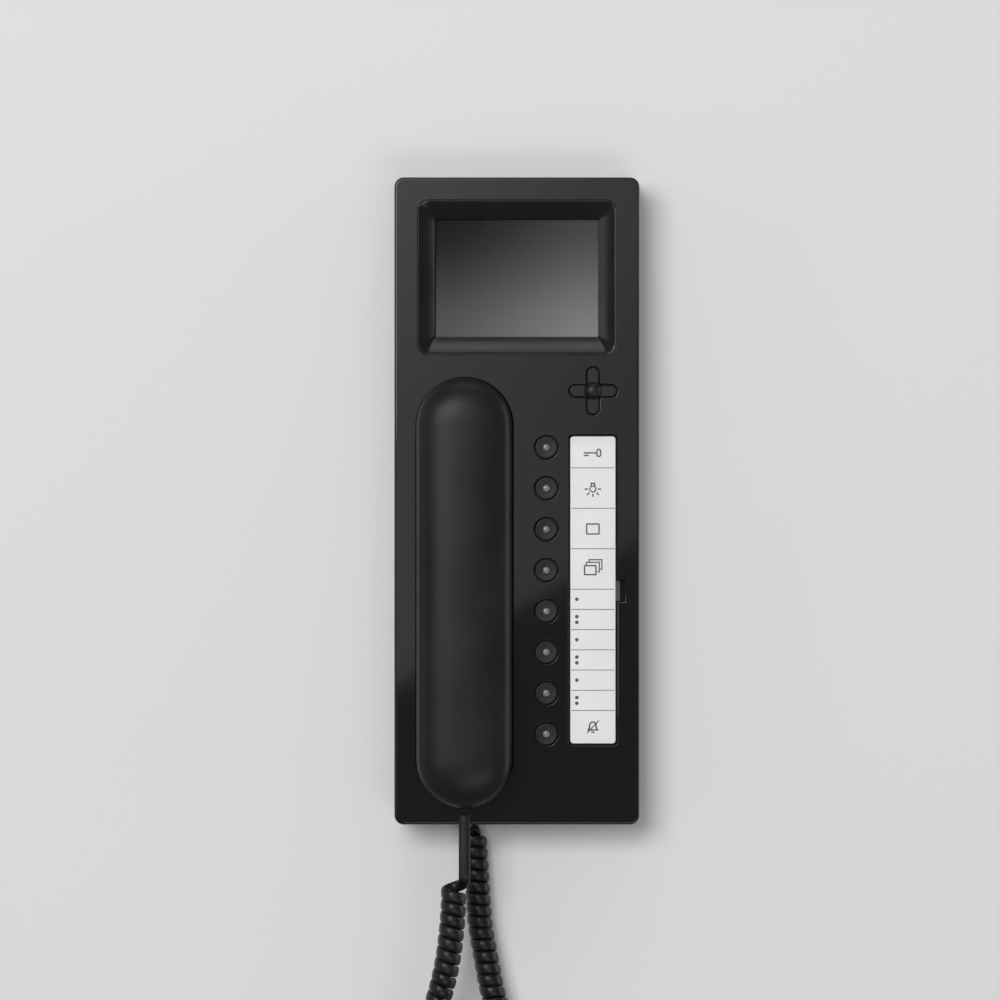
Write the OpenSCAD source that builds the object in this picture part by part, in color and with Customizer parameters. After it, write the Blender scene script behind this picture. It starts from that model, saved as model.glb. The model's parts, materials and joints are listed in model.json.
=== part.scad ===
// Wall-mounted video door intercom with a lift-off handset and a curly cord.
// Millimetres. X runs to the right, Z up and -Y out of the wall. The origin is
// the centre of the wall plate's back face, so a depth d from the wall is y = -d.

/* [Housing] */
// Width of the front housing
body_w = 103; // [102:1:126]
// Height of the front housing
body_h = 272; // [270:1:330]
// Depth from the wall to the front face
body_d = 27; // [26.5:0.5:34]
// Radius of the four front corners
corner_r = 4; // [2:0.5:8]
// Thickness of the moulded walls
wall = 2.5; // [2:0.1:3]
// Free gap around each inserted or moving piece
gap = 0.4; // [0.3:0.05:0.5]

/* [Screen] */
// Width of the screen bezel
bezel_w = 83.2; // [80:0.2:90]
// Height of the screen bezel
bezel_h = 65; // [62:0.5:72]
// Corner radius of the screen bezel
bezel_r = 4.4; // [2:0.2:6]
// Depth of the slope from the face to the screen
bezel_drop = 4.5; // [3:0.5:5]
// Width of the visible screen
view_w = 69; // [60:1:70]
// Height of the visible screen
view_h = 50; // [44:1:52]
// Distance from the housing's top to the bezel
bezel_top = 9.6; // [8:0.2:14]

/* [Handset] */
// Width of the handset
handset_w = 40; // [36:0.5:42]
// Length of the handset
handset_l = 180; // [150:1:184]
// Height of the handset's crown above the face
crown = 19; // [15:0.5:23]
// Depth of the cradle pockets below the face
pocket_depth = 12; // [11:0.5:12.5]
// Length of each round-ended cradle pocket
pocket_l = 50; // [44:1:56]
// Distance from the housing's left side to the handset
handset_side = 9.5; // [8:0.5:12]
// Distance from the housing's bottom to the handset
handset_foot = 7.5; // [6:0.5:12]
// Thickness of the handset's shells
shell = 2; // [1.6:0.1:2.4]

/* [Keys] */
// Number of round keys
key_n = 8; // [1:1:8]
// Diameter of a key
key_d = 9.2; // [8:0.1:11]
// Distance between key centres
key_pitch = 17.2; // [15:0.1:18]
// Distance a key stands proud of the face
key_proud = 0.8; // [0.6:0.1:1.6]
// Travel of a key
key_travel = 0.8; // [0.4:0.1:0.9]
// Diameter of the light guide in each key
lens_d = 3; // [2:0.1:4]
// Distance from the housing's top to the first key
key_top = 113.5; // [110:0.5:120]

/* [Navigation pad] */
// Length of the cross along each arm pair
nav_l = 19.6; // [17:0.2:21]
// Width of an arm
nav_arm = 4.8; // [4:0.1:6]
// Gap around the cross
nav_gap = 0.5; // [0.4:0.1:0.7]
// Diameter of the centre dome
dome_d = 6.7; // [5:0.1:8]
// Distance from the housing's top to the centre of the cross
nav_top = 89.8; // [88:0.2:91]

/* [Label] */
// Width of the label strip
label_w = 19.3; // [16:0.1:22]
// Length of the label strip
label_l = 129.4; // [100:0.2:150]
// Corner radius of the label strip
label_r = 1.5; // [1:0.1:3]
// Distance from the housing's right side to the label
label_side = 9.9; // [9:0.1:12]
// Distance from the housing's top to the label
label_top = 108.7; // [106:0.1:116]
// Distance between the key column and the middle of the label
key_to_label = 19.65; // [18:0.05:24]

/* [Wall plate] */
// Thickness of the wall plate
plate_t = 2.4; // [2:0.1:3]
// Diameter of the four wall screw holes
wall_hole_d = 4.5; // [4:0.1:6]
// Distance between the wall screw holes across the plate
wall_hole_x = 70; // [60:1:80]
// Distance between the wall screw holes up the plate
wall_hole_z = 220; // [180:1:236]
// Distance between the two flush-box screw slots
box_pitch = 60; // [58:1:64]
// Width of a flush-box screw slot
slot_w = 4; // [3.4:0.1:5]
// Length of a flush-box screw slot, end to end
slot_l = 8; // [6:0.5:10]
// Width of the cable window
cable_w = 44; // [30:1:46]
// Height of the cable window
cable_h = 34; // [24:1:36]

/* [Cord] */
// Width of the flat cord
cord_w = 4.8; // [4:0.1:6]
// Thickness of the flat cord
cord_t = 2.4; // [2:0.1:3]
// Outer diameter of the curly cord
coil_d = 11.3; // [10:0.1:14]

/* [Hidden] */
$fn = 48;

// Depths from the wall
rear_gap = 0.8;
rim_d = 7;
rim_t = 1.6;
face_in = body_d - wall;
board_t = 1.6;
main_at = 9;
main_front = main_at + board_t;
switch_h = 3.5;
key_board_front = face_in - 6.4;
key_board_at = key_board_front - board_t;
switch_top = key_board_front + switch_h;
actuator_h = 0.6;
actuator_top = switch_top + actuator_h;
bezel_lip = 1.5;
bezel_floor = body_d - bezel_drop;
bezel_back = bezel_floor - bezel_lip;
window_t = 1.2;
window_at = bezel_back - 0.2 - window_t;
lcd_t = 3.4;
lcd_at = window_at - gap - lcd_t;
display_board_at = lcd_at - 4.3;
pocket_floor = body_d - pocket_depth;
cradle_t = 2;
cradle_back = pocket_floor - cradle_t;
island = body_d - 6;
handset_rear = pocket_floor + 0.3;
handset_waist = island + 0.5;
handset_split = body_d + 3;
handset_top = body_d + crown;
cup_gap = 0.6;

// Places across the face
top = body_h / 2;
bottom = -body_h / 2;
right = body_w / 2;
left = -body_w / 2;
bezel_z = top - bezel_top - bezel_h / 2;
handset_x = left + handset_side + handset_w / 2;
handset_z = bottom + handset_foot + handset_l / 2;
ear_z = handset_z + (handset_l - handset_w) / 2;
mic_z = handset_z - (handset_l - handset_w) / 2;
label_x = right - label_side - label_w / 2;
label_z = top - label_top - label_l / 2;
key_x = label_x - key_to_label;
nav_x = label_x;
nav_z = top - nav_top;
function key_z(i) = top - key_top - (i - 1) * key_pitch;

// Boards
key_board_left = handset_x + handset_w / 2 + gap + cradle_t + 1.2;
key_board_right = right - wall - gap;
key_board_top = nav_z + 12.5;
main_top = top - 116;
board_foot = bottom + 27.5;
main_w = body_w - 2 * wall - 4;

// Handset hardware
jack_w = 11.4;
jack_h = 9;
jack_l = 14;
plug_w = 7.6;
plug_h = 6.4;
plug_l = 11.5;
boot_l = 3;
jack_depth = body_d + 6;
jack_mouth = bottom + handset_foot + shell + 3;
ear_d = 30;
ear_ring_d = ear_d + 3;
mic_d = 9.8;
mic_boot_d = mic_d + 4;
magnet_w = 8.6;
keeper_w = 10;
keeper_t = 1;
cup_end = handset_l / 2 - pocket_l + gap + cup_gap + shell;
keeper_places = [(handset_z + cup_end + ear_z - ear_ring_d / 2) / 2,
                 (handset_z - cup_end + mic_z + mic_boot_d / 2) / 2];

// Cord socket in the foot of the housing
base_x = handset_x + 3.5;
base_depth = 8;
base_mouth = bottom + 8;
socket_w = 13;
socket_h = 9;
socket_l = 18;
outlet_w = 14;
outlet_h = 11;

// Ringer in the other side of the foot
ringer_d = 22;
ringer_x = right - 35.5;
ringer_z = bottom + wall + gap + rim_t + ringer_d / 2 + 0.5;

// Cord: the coil's middle line from the base to the handset
coil_route = [
    [-18.5, -8, -138], [-17.5, -8, -151], [-16.5, -8.5, -166], [-15.5, -9, -180],
    [-13, -10, -194], [-10, -11, -209], [-5, -12, -225], [0, -13, -241],
    [4.5, -14, -257], [7, -15, -273], [7, -16, -289], [4, -17, -304],
    [-2, -18, -318], [-11, -19, -328], [-22, -20, -332], [-33, -21, -328],
    [-42, -22, -318], [-49, -23, -304], [-52, -24, -289], [-51.5, -25.5, -273],
    [-48.5, -27, -257], [-44, -28.5, -241], [-38.5, -30, -225], [-33, -31.5, -209],
    [-29.5, -32.5, -195], [-27.5, -33, -181], [-26.5, -33, -168], [-26.5, -33, -158]];
base_lead_route = [[-18.5, -8, -131], [-18.5, -8, -134.5], [-18.5, -8, -138]];
handset_lead_route = [[-22, -33, -131.5], [-22, -33, -145], [-22, -33, -157.8]];

// ---------- Helpers ----------

// Extrudes a shape drawn in X and Z between two depths from the wall.
module from_wall(near, far)
    translate([0, -near, 0]) rotate([90, 0, 0]) linear_extrude(far - near) children();

module rounded_rect(w, h, r) {
    square([w - 2 * r, h], center = true);
    square([w, h - 2 * r], center = true);
    for (x = [-1, 1], z = [-1, 1])
        translate([x * (w / 2 - r), z * (h / 2 - r)]) circle(r);
}

module stadium(w, l) {
    square([w, l - w], center = true);
    for (z = [-1, 1]) translate([0, z * (l - w) / 2]) circle(w / 2);
}

module slot(w, l) rotate(90) stadium(w, l);

module cross_shape(l, w) {
    stadium(w, l);
    slot(w, l);
}

// A cylinder that stands on the wall at [x, z], between two depths.
module post(x, z, d, near, far)
    translate([x, -near, z]) rotate([90, 0, 0]) cylinder(d = d, h = far - near);

// A plain box centred on [x, z], between two depths.
module block(x, z, w, h, near, far)
    translate([x - w / 2, -far, z - h / 2]) cube([w, far - near, h]);

module at_handset() translate([handset_x, handset_z]) children();

module at_key(i) translate([key_x, 0, key_z(i)]) children();

// Points on a smooth curve through the route, two steps to each stretch.
function route_point(p, i) = p[max(0, min(len(p) - 1, i))];
function between(a, b, c, d, t) =
    0.5 * ((2 * b) + (c - a) * t + (2 * a - 5 * b + 4 * c - d) * t * t
           + (3 * b - a - 3 * c + d) * t * t * t);
function smooth_route(p, steps) = concat(
    [for (i = [0:len(p) - 2], s = [0:steps - 1])
        between(route_point(p, i - 1), p[i], p[i + 1], route_point(p, i + 2), s / steps)],
    [p[len(p) - 1]]);
function unit(v) = v / norm(v);
function heading(p, i) = unit(p[min(i + 1, len(p) - 1)] - p[max(i - 1, 0)]);
function across(t) = unit(cross(t, [0, 1, 0]));
function ring_of(p, i, a, b, sides) = let (t = heading(p, i), u = across(t), v = cross(u, t))
    [for (k = [0:sides - 1]) p[i] + a * cos(360 * k / sides) * u + b * sin(360 * k / sides) * v];

// A closed tube along a route, a wide and b deep in radius.
module tube(p, a, b, sides) {
    n = len(p);
    polyhedron(
        points = [for (i = [0:n - 1]) each ring_of(p, i, a, b, sides)],
        faces = concat(
            [[for (k = [0:sides - 1]) k]],
            [for (i = [0:n - 2], k = [0:sides - 1])
                [i * sides + k, (i + 1) * sides + k,
                 (i + 1) * sides + (k + 1) % sides, i * sides + (k + 1) % sides]],
            [[for (k = [sides - 1:-1:0]) (n - 1) * sides + k]]));
}

// ---------- Wall side ----------

plate_w = body_w - 2 * wall - 2 * gap;
plate_h = body_h - 2 * wall - 2 * gap;
plate_r = max(corner_r - wall, 1);
window_z = bezel_z - 23;

// The catches: nubs inside the housing that snap into windows in the plate's rim.
catch_w = 8;
catches = [[-30, 1], [30, 1], [base_x - 20, -1], [base_x + 20, -1]];
module at_catches() for (c = catches) translate([c[0], 0, c[1] * plate_h / 2]) children();

module wall_plate() {
    color("dimgray") difference() {
        union() {
            from_wall(0, plate_t) rounded_rect(plate_w, plate_h, plate_r);
            difference() {
                from_wall(0, rim_d) rounded_rect(plate_w, plate_h, plate_r);
                from_wall(-1, rim_d + 1)
                    square([plate_w - 2 * rim_t, plate_h - 2 * rim_t], center = true);
            }
            for (z = [-84, window_z + cable_h / 2 + 8]) block(0, z, plate_w - 10, 1.6, 0, 5);
            post(ringer_x, ringer_z, ringer_d + 3, 0, 5);
            for (x = [-1, 1])
                block(base_x + x * (socket_w / 2 + 1.2), base_mouth + 7, 1.6, 12, 0, 8);
        }
        for (x = [-1, 1], z = [-1, 1])
            post(x * wall_hole_x / 2, z * wall_hole_z / 2, wall_hole_d, -1, plate_t + 1);
        for (x = [-1, 1])
            from_wall(-1, plate_t + 1)
                translate([x * box_pitch / 2, window_z]) slot(slot_w, slot_l);
        from_wall(-1, plate_t + 1)
            translate([0, window_z]) rounded_rect(cable_w, cable_h, 3);
        post(ringer_x, ringer_z, ringer_d + 2 * gap, plate_t, rim_d + 1);
        block(base_x, bottom + 3, outlet_w, 9, plate_t, rim_d + 1);
        at_catches() block(0, 0, catch_w + 1, 2 * rim_t + 1, plate_t + 0.4, rim_d - 1.2);
    }
}

terminal_z = main_top + 11;
terminal_pitch = 5;
terminal_n = 6;
terminal_w = terminal_n * terminal_pitch + 2;
terminal_top = plate_t + 9.6;

module terminal_block() color("darkseagreen") difference() {
    block(0, terminal_z, terminal_w, 11, plate_t, terminal_top);
    for (i = [0:terminal_n - 1]) {
        post(terminal_x(i), terminal_z - 1.5, 4, terminal_top - 3, terminal_top + 1);
        block(terminal_x(i), terminal_z + 4.5, 3.4, 6, plate_t + 1.2, plate_t + 5);
    }
}

function terminal_x(i) = (i - (terminal_n - 1) / 2) * terminal_pitch;

module terminal_screws() color("silver") for (i = [0:terminal_n - 1]) difference() {
    post(terminal_x(i), terminal_z - 1.5, 3.8, terminal_top - 3, terminal_top - 1);
    block(terminal_x(i), terminal_z - 1.5, 5, 0.7, terminal_top - 1.8, terminal_top);
}

module link_connector() color("black") difference() {
    block(28, main_top - 6, 26, 6, plate_t, main_at);
    block(28, main_top - 6, 23, 3, plate_t + 1, main_at - 2);
}

module ringer_speaker() color("gray") difference() {
    union() {
        post(ringer_x, ringer_z, ringer_d, plate_t + 0.1, 10);
        post(ringer_x, ringer_z, ringer_d - 8, 10, 12);
    }
    post(ringer_x, ringer_z, ringer_d - 11, 11.2, 13);
}

// A modular socket's housing with its mouth at z, facing down.
module socket(x, depth, z, w, h, l) difference() {
    block(x, z + l / 2, w, l, depth - h / 2, depth + h / 2);
    block(x, z + plug_l / 2, plug_w + 0.4, plug_l + 1, depth - plug_h / 2 - 0.2, depth + plug_h / 2 + 0.2);
}

module cord_socket() color("dimgray") socket(base_x, base_depth, base_mouth, socket_w, socket_h, socket_l);

// ---------- Boards ----------

module main_board() color("darkgreen") difference() {
    block(0, (main_top + board_foot) / 2, main_w, main_top - board_foot, main_at, main_front);
    for (p = cradle_bosses) post(p[0], p[1], 3, main_at - 1, main_front + 1);
    for (p = spacer_places) post(p[0], p[1], 3, main_at - 1, main_front + 1);
}

cradle_bosses = [for (x = [-11, 11], z = [-32, 32]) [handset_x + x, handset_z + z]];
spacer_places = [for (x = [key_board_left + 4, key_board_right - 5], z = [main_top - 14, board_foot + 20])
    [x, z]];
post_places = [for (x = [key_board_left + 2.6, key_board_right - 2.3], z = [key_board_top - 24, board_foot + 2.6])
    [x, z]];

module board_components() {
    part_x = key_board_left + 22;
    color("black") {
        block(handset_x, handset_z, 14, 14, main_front, main_front + 1.4);
        block(handset_x - 2, handset_z + 40, 10, 8, main_front, main_front + 1.6);
        block(handset_x + 3, handset_z - 44, 8, 12, main_front, main_front + 1.6);
        block(part_x - 8, handset_z + 16, 12, 12, main_front, main_front + 1.6);
        block(part_x + 6, handset_z + 16, 8, 5, main_front, main_front + 1.6);
    }
    color("gold") block(part_x + 8, handset_z - 34, 15, 13, main_front, main_front + 5.2);
    color("steelblue") for (k = [0:2])
        post(part_x - 9 + k * 9, handset_z - 8, 7, main_front, main_front + 5);
    color("tan") for (k = [0:5])
        block(part_x - 12 + k * 5, handset_z + 30, 3.2, 1.6, main_front, main_front + 0.6);
}

module reed_switch() color("lightcyan")
    translate([handset_x - 6, -(main_front + 1), keeper_places[0]])
        rotate([0, 90, 0]) translate([0, 0, -1]) cylinder(d = 1.8, h = 14);

module screw(x, z, head_at, length) {
    post(x, z, 4.6, head_at - 1.6, head_at);
    post(x, z, 2.2, head_at, head_at + length);
}

module board_screws() color("silver") {
    for (p = cradle_bosses) screw(p[0], p[1], main_at, 6.5);
    for (p = post_places) screw(p[0], p[1], key_board_at, 6);
}

module board_spacers() color("goldenrod") for (p = spacer_places) difference() {
    post(p[0], p[1], 5, main_front, key_board_at);
    post(p[0], p[1], 2.2, main_front - 1, key_board_at + 1);
}

module key_board() color("darkgreen") difference() {
    block((key_board_left + key_board_right) / 2, (key_board_top + board_foot) / 2,
          key_board_right - key_board_left, key_board_top - board_foot,
          key_board_at, key_board_front);
    for (p = post_places) post(p[0], p[1], 3, key_board_at - 1, key_board_front + 1);
}

module key_switches() color("dimgray") for (i = [1:key_n]) difference() {
    block(key_x, key_z(i), 6.2, 6.2, key_board_front, switch_top);
    post(key_x, key_z(i), lens_d + 0.4, key_board_front + 1, switch_top + 1);
}

module switch_actuators() color("ivory") for (i = [1:key_n])
    post(key_x, key_z(i), lens_d, key_board_front + 1, actuator_top);

module nav_switch() color("dimgray") difference() {
    block(nav_x, nav_z, 8, 8, key_board_front, switch_top);
    post(nav_x, nav_z, 2 * ball_r + 1, key_board_front + 0.8, switch_top + 1);
}

// ---------- Display ----------

module display_board() color("darkgreen")
    block(0, bezel_z, bezel_w - 3, bezel_h - 4, display_board_at, display_board_at + board_t);

// A flat flex that drops from the display board into its connector on the main board.
module display_ribbon() {
    near = display_board_at - 0.3;
    foot = bezel_z - bezel_h / 2 + 8;
    color("orange") block(handset_x - 6, (foot + main_top - 6) / 2, 16, foot - main_top + 6, near, near + 0.3);
    color("white") block(handset_x - 6, main_top - 4.5, 18, 5, main_front, near);
}

module lcd_frame() color("silver") difference() {
    from_wall(lcd_at - 1.6, window_at + window_t) square([bezel_w - 1.6, bezel_h - 1.2], center = true);
    from_wall(lcd_at - 0.8, body_d) square([view_w + 8, view_h + 10], center = true);
    from_wall(lcd_at - 3, body_d) square([view_w - 6, view_h - 6], center = true);
}

module lcd_panel() color("slategray")
    block(0, 0, view_w + 7.2, view_h + 9.2, lcd_at - 0.7, lcd_at + lcd_t);

module screen_window() color("lightsteelblue", 0.4)
    block(0, 0, view_w + 4, view_h + 4, window_at, window_at + window_t);

module at_screen() translate([0, 0, bezel_z]) children();

module screen_bezel() color("#202020") difference() {
    from_wall(bezel_back, body_d) rounded_rect(bezel_w, bezel_h, bezel_r);
    hull() {
        from_wall(body_d, body_d + 1) rounded_rect(bezel_w - 2.4, bezel_h - 2.4, bezel_r - 1.2, $fn = 32);
        from_wall(bezel_floor, bezel_floor + 0.01) rounded_rect(view_w, view_h, 1, $fn = 32);
    }
    from_wall(bezel_back - 1, body_d) rounded_rect(view_w, view_h, 1);
}

// ---------- Front ----------

module face_openings() {
    translate([0, bezel_z]) rounded_rect(bezel_w + 2 * 0.3, bezel_h + 2 * 0.3, bezel_r + 0.3);
    at_handset() stadium(handset_w + 2 * gap, handset_l + 2 * gap);
    for (i = [1:key_n]) translate([key_x, key_z(i)]) circle(d = key_d + 2 * gap);
    translate([nav_x, nav_z]) cross_shape(nav_l + 2 * nav_gap, nav_arm + 2 * nav_gap);
    translate([label_x, label_z]) rounded_rect(label_w + 0.6, label_l + 0.6, label_r + 0.3);
    translate([notch_x, notch_z]) square([notch_w + 1, notch_h], center = true);
}

notch_w = 3.8;
notch_h = 9.2;
notch_x = label_x + label_w / 2 + notch_w / 2 - 0.5;
notch_z = top - 173.8;

module front_housing() color("#101010") difference() {
    union() {
        difference() {
            from_wall(rear_gap, body_d) rounded_rect(body_w, body_h, corner_r);
            from_wall(rear_gap - 1, face_in)
                rounded_rect(body_w - 2 * wall, body_h - 2 * wall, max(corner_r - wall, 0.6));
        }
        for (p = post_places) post(p[0], p[1], 4, key_board_front, face_in + 0.5);
        at_catches() block(0, 0, catch_w, 2 * (gap + 0.8), plate_t + 0.9, rim_d - 1.7);
    }
    from_wall(face_in - 1, body_d + 1) face_openings();
    for (p = post_places) post(p[0], p[1], 2.2, key_board_front - 1, key_board_front + 5.5);
    translate([base_x - outlet_w / 2, -base_depth - outlet_h / 2, bottom - 1])
        cube([outlet_w, outlet_h, wall + 2]);
    for (k = [-3:3])
        translate([ringer_x + k * 3.6 - 0.8, -18, bottom - 1]) cube([1.6, 11, wall + 2]);
}

module ear_pocket(w, side) intersection() {
    at_handset() stadium(w, handset_l + w - handset_w);
    translate([handset_x, handset_z + side * (handset_l - pocket_l + 20) / 2])
        square([w + 1, pocket_l + 20], center = true);
}

module handset_cradle() {
    inner = handset_w + 2 * gap;
    color("#1a1a1a") difference() {
        union() {
            from_wall(cradle_back, face_in)
                at_handset() stadium(inner + 2 * cradle_t, handset_l + 2 * gap + 2 * cradle_t);
            for (p = cradle_bosses) post(p[0], p[1], 6.6, main_front, cradle_back + 1);
        }
        from_wall(island, face_in + 1) at_handset() stadium(inner, handset_l + 2 * gap);
        for (side = [-1, 1]) from_wall(pocket_floor, face_in + 1) ear_pocket(inner, side);
        difference() {
            from_wall(cradle_back - 1, island - cradle_t)
                at_handset() square([inner - 2, handset_l - 2 * pocket_l - 2 * cradle_t - 1], center = true);
            for (p = cradle_bosses) post(p[0], p[1], 6.6, 0, island);
        }
        for (p = cradle_bosses) post(p[0], p[1], 2.2, main_front - 1, main_front + 7);
        for (z = keeper_places)
            block(handset_x, z, keeper_w + 0.1, keeper_w + 0.1, pocket_floor - keeper_t, pocket_floor + 1);
    }
}

module cradle_keepers() color("silver") for (z = keeper_places)
    block(handset_x, z, keeper_w, keeper_w, pocket_floor - keeper_t, pocket_floor);

// ---------- Keys and navigation pad ----------

key_back = actuator_top + key_travel + 0.3;

module key(i) color("#262626") at_key(i) difference() {
    union() {
        post(0, 0, key_d + 2.2, key_back, face_in - gap);
        post(0, 0, key_d, key_back, body_d + key_proud);
    }
    post(0, 0, lens_d, actuator_top, body_d + 2);
    translate([0, -(body_d + key_proud + 13.2), 0]) sphere(r = 13.5, $fn = 64);
}

module key_lens(i) color("gainsboro") at_key(i) {
    post(0, 0, lens_d - 0.06, key_back - 0.2, body_d + key_proud - 0.3);
    intersection() {
        post(0, 0, lens_d - 0.06, body_d + key_proud - 0.3, body_d + key_proud + 1);
        translate([0, -(body_d + key_proud - 1.9), 0]) sphere(r = 2.2, $fn = 48);
    }
}

ball_r = 1.9;
nav_pivot_at = switch_top + 0.7;
nav_flange_at = nav_pivot_at + 0.6;
nav_face = body_d + 0.2;
dome_seat = nav_face - 1;
dome_travel = 0.6;

module at_nav() translate([nav_x, 0, nav_z]) children();

module nav_pivot() color("silver") at_nav() translate([0, -nav_pivot_at, 0]) sphere(r = ball_r);

module nav_cross() color("#262626") at_nav() difference() {
    union() {
        post(0, 0, nav_l + 3.6, nav_flange_at, nav_flange_at + 0.7);
        from_wall(nav_flange_at, nav_face) cross_shape(nav_l, nav_arm);
        post(0, 0, dome_d + 0.2, nav_flange_at, dome_seat);
    }
    translate([0, -nav_pivot_at, 0]) sphere(r = ball_r + 0.25);
    post(0, 0, 2 * ball_r + 0.5, nav_pivot_at - 1, nav_pivot_at);
    post(0, 0, 2.4, nav_pivot_at, nav_face + 1);
    post(0, 0, dome_d + 0.6, dome_seat, nav_face + 1);
}

module nav_dome() {
    skirt = dome_seat + dome_travel + 0.1;
    dome_r = 4.2;
    color("#303030") at_nav() {
        post(0, 0, dome_d, skirt, nav_face + 0.3);
        intersection() {
            post(0, 0, dome_d, nav_face + 0.3, nav_face + 4);
            translate([0, -(nav_face + 2 - dome_r), 0]) sphere(r = dome_r, $fn = 64);
        }
        post(0, 0, 2, nav_pivot_at + ball_r + dome_travel + 0.2, skirt);
    }
}

// ---------- Label ----------

label_seat = body_d - 2;
sheet_t = 0.25;
cover_t = 1.4;
cover_seat = label_seat + sheet_t + 0.1;

module label_tray() color("#0c0c0c") {
    from_wall(face_in - 2, face_in) translate([label_x + 1, label_z]) rounded_rect(label_w + 7, label_l + 3, 1.5);
    from_wall(face_in, label_seat) translate([label_x, label_z]) rounded_rect(label_w, label_l, label_r);
}

module label_sheet() color("white") from_wall(label_seat, label_seat + sheet_t)
    translate([label_x, label_z]) rounded_rect(label_w - 0.4, label_l - 0.4, label_r - 0.2);

module label_cover() color("whitesmoke", 0.4)
    from_wall(cover_seat, cover_seat + cover_t) {
        translate([label_x, label_z]) rounded_rect(label_w, label_l, label_r);
        translate([label_x + label_w / 2 + 0.6, notch_z]) square([2.2, notch_h - 0.6], center = true);
    }

// ---------- Handset ----------

// Half of the handset's cross-section: straight sides, then a rounded crown.
function crown_arc(half, low, high, inset) = let (k = 2 / 2.3, n = 12)
    [for (i = [0:n]) let (a = 90 * i / n)
        [(half - inset) * pow(cos(a), k), low + (high - inset - low) * pow(sin(a), k)]];

module crown_profile(inset, from) polygon(concat(
    [[0, from], [handset_w / 2 - inset, from]],
    crown_arc(handset_w / 2, handset_split + 2, handset_top, inset)));

// Sweeps a half section round the handset's outline.
module handset_sweep() {
    straight = handset_l - handset_w;
    translate([handset_x, 0, handset_z]) {
        for (m = [0, 1]) mirror([m, 0, 0])
            translate([0, 0, -straight / 2]) linear_extrude(straight) mirror([0, 1]) children();
        for (side = [-1, 1]) translate([0, 0, side * straight / 2])
            rotate([90, 0, 0]) rotate_extrude() children();
    }
}

// The plug's way into the end of the handset.
module jack_way() block(handset_x, bottom + handset_foot + 4, plug_w + 0.6, 10,
                        jack_depth - plug_h / 2 - 0.3, jack_depth + plug_h / 2 + 0.3);

module handset_front() color("#1c1c1c") difference() {
    union() {
        difference() {
            handset_sweep() crown_profile(0, handset_split);
            handset_sweep() crown_profile(shell, handset_split - 1);
        }
        for (z = screw_places) post(handset_x, z, 6, handset_split, handset_top - shell / 2);
    }
    for (z = screw_places) post(handset_x, z, 2.2, handset_split - 1, handset_split + 8);
    jack_way();
}

screw_places = [handset_z + 28, handset_z - 28];

module handset_outline(inset) at_handset() stadium(handset_w - 2 * inset, handset_l - 2 * inset);

// The handset's hollow waist, open from behind between the two cups.
module waist(near, far, inset) from_wall(near, far) at_handset()
    square([handset_w + 2, handset_l - 2 * pocket_l + 2 * (gap + inset)], center = true);

module handset_back() color("#181818") difference() {
    union() {
        difference() {
            from_wall(handset_rear, handset_split) handset_outline(0);
            waist(handset_rear - 1, handset_waist, cup_gap);
            difference() {
                from_wall(handset_rear + shell, handset_split + 1) handset_outline(shell);
                waist(handset_rear, handset_waist + shell, cup_gap + shell);
            }
        }
        for (z = screw_places) post(handset_x, z, 7, handset_waist + shell, handset_split);
        post(handset_x, ear_z, ear_ring_d, handset_rear + shell, handset_rear + shell + 2);
    }
    post(handset_x, ear_z, ear_d + 0.4, handset_rear + shell, handset_split);
    for (z = screw_places) {
        post(handset_x, z, 2.8, handset_waist - 1, handset_split + 1);
        post(handset_x, z, 5, handset_waist - 1, handset_waist + 2);
    }
    for (ring = [0:3], k = [0:max(0, 6 * ring - 1)])
        post(handset_x + 3 * ring * cos(60 * k / max(ring, 1)), ear_z + 3 * ring * sin(60 * k / max(ring, 1)),
             1.6, handset_rear - 1, handset_rear + shell + 1);
    for (x = [-1, 0, 1])
        from_wall(handset_rear - 1, handset_rear + shell + 1)
            translate([handset_x + 3 * x, mic_z]) stadium(1.2, 6);
    jack_way();
}

module handset_socket() color("dimgray") socket(handset_x, jack_depth, jack_mouth, jack_w, jack_h, jack_l);

module handset_screws() color("silver") for (z = screw_places) {
    post(handset_x, z, 4.6, handset_waist + 0.4, handset_waist + 2);
    post(handset_x, z, 2.2, handset_waist + 2, handset_split + 7);
}

module handset_magnets() color("lightgray") for (z = keeper_places)
    block(handset_x, z, magnet_w, magnet_w, handset_rear + shell + 0.1, handset_rear + shell + 4);

module ear_capsule() color("gray") {
    post(handset_x, ear_z, ear_d, handset_rear + shell + 0.1, handset_rear + shell + 5);
    post(handset_x, ear_z, ear_d - 10, handset_rear + shell + 5, handset_rear + shell + 8);
}

module mic_boot() color("black") difference() {
    post(handset_x, mic_z, mic_boot_d, handset_rear + shell + 0.1, handset_rear + shell + 6);
    post(handset_x, mic_z, mic_d, handset_rear + shell + 1, handset_rear + shell + 7);
}

module mic_capsule() color("silver")
    post(handset_x, mic_z, mic_d - 0.06, handset_rear + shell + 1.1, handset_rear + shell + 7);

// ---------- Cord ----------

// A modular plug with its short boot, mouth down at [x, y, z].
module plug(x, depth, z) {
    block(x, z + plug_l / 2, plug_w, plug_l, depth - plug_h / 2, depth + plug_h / 2);
    block(x, z - boot_l / 2, cord_w + 1.2, boot_l, depth - cord_t / 2 - 0.8, depth + cord_t / 2 + 0.8);
}

module cord_plug_handset() color("black") plug(handset_x, jack_depth, bottom + handset_foot);

module cord_plug_base() color("black") plug(base_x, base_depth, base_mouth);

module cord_lead_handset() color("#1a1a1a") tube(handset_lead_route, cord_w / 2, cord_t / 2, 8);

module cord_lead_base() color("#1a1a1a") tube(base_lead_route, cord_w / 2, cord_t / 2, 8);

module cord_coil() color("#1a1a1a") tube(smooth_route(coil_route, 2), coil_d / 2, coil_d / 2, 12);

// ---------- Nodes ----------

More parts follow.
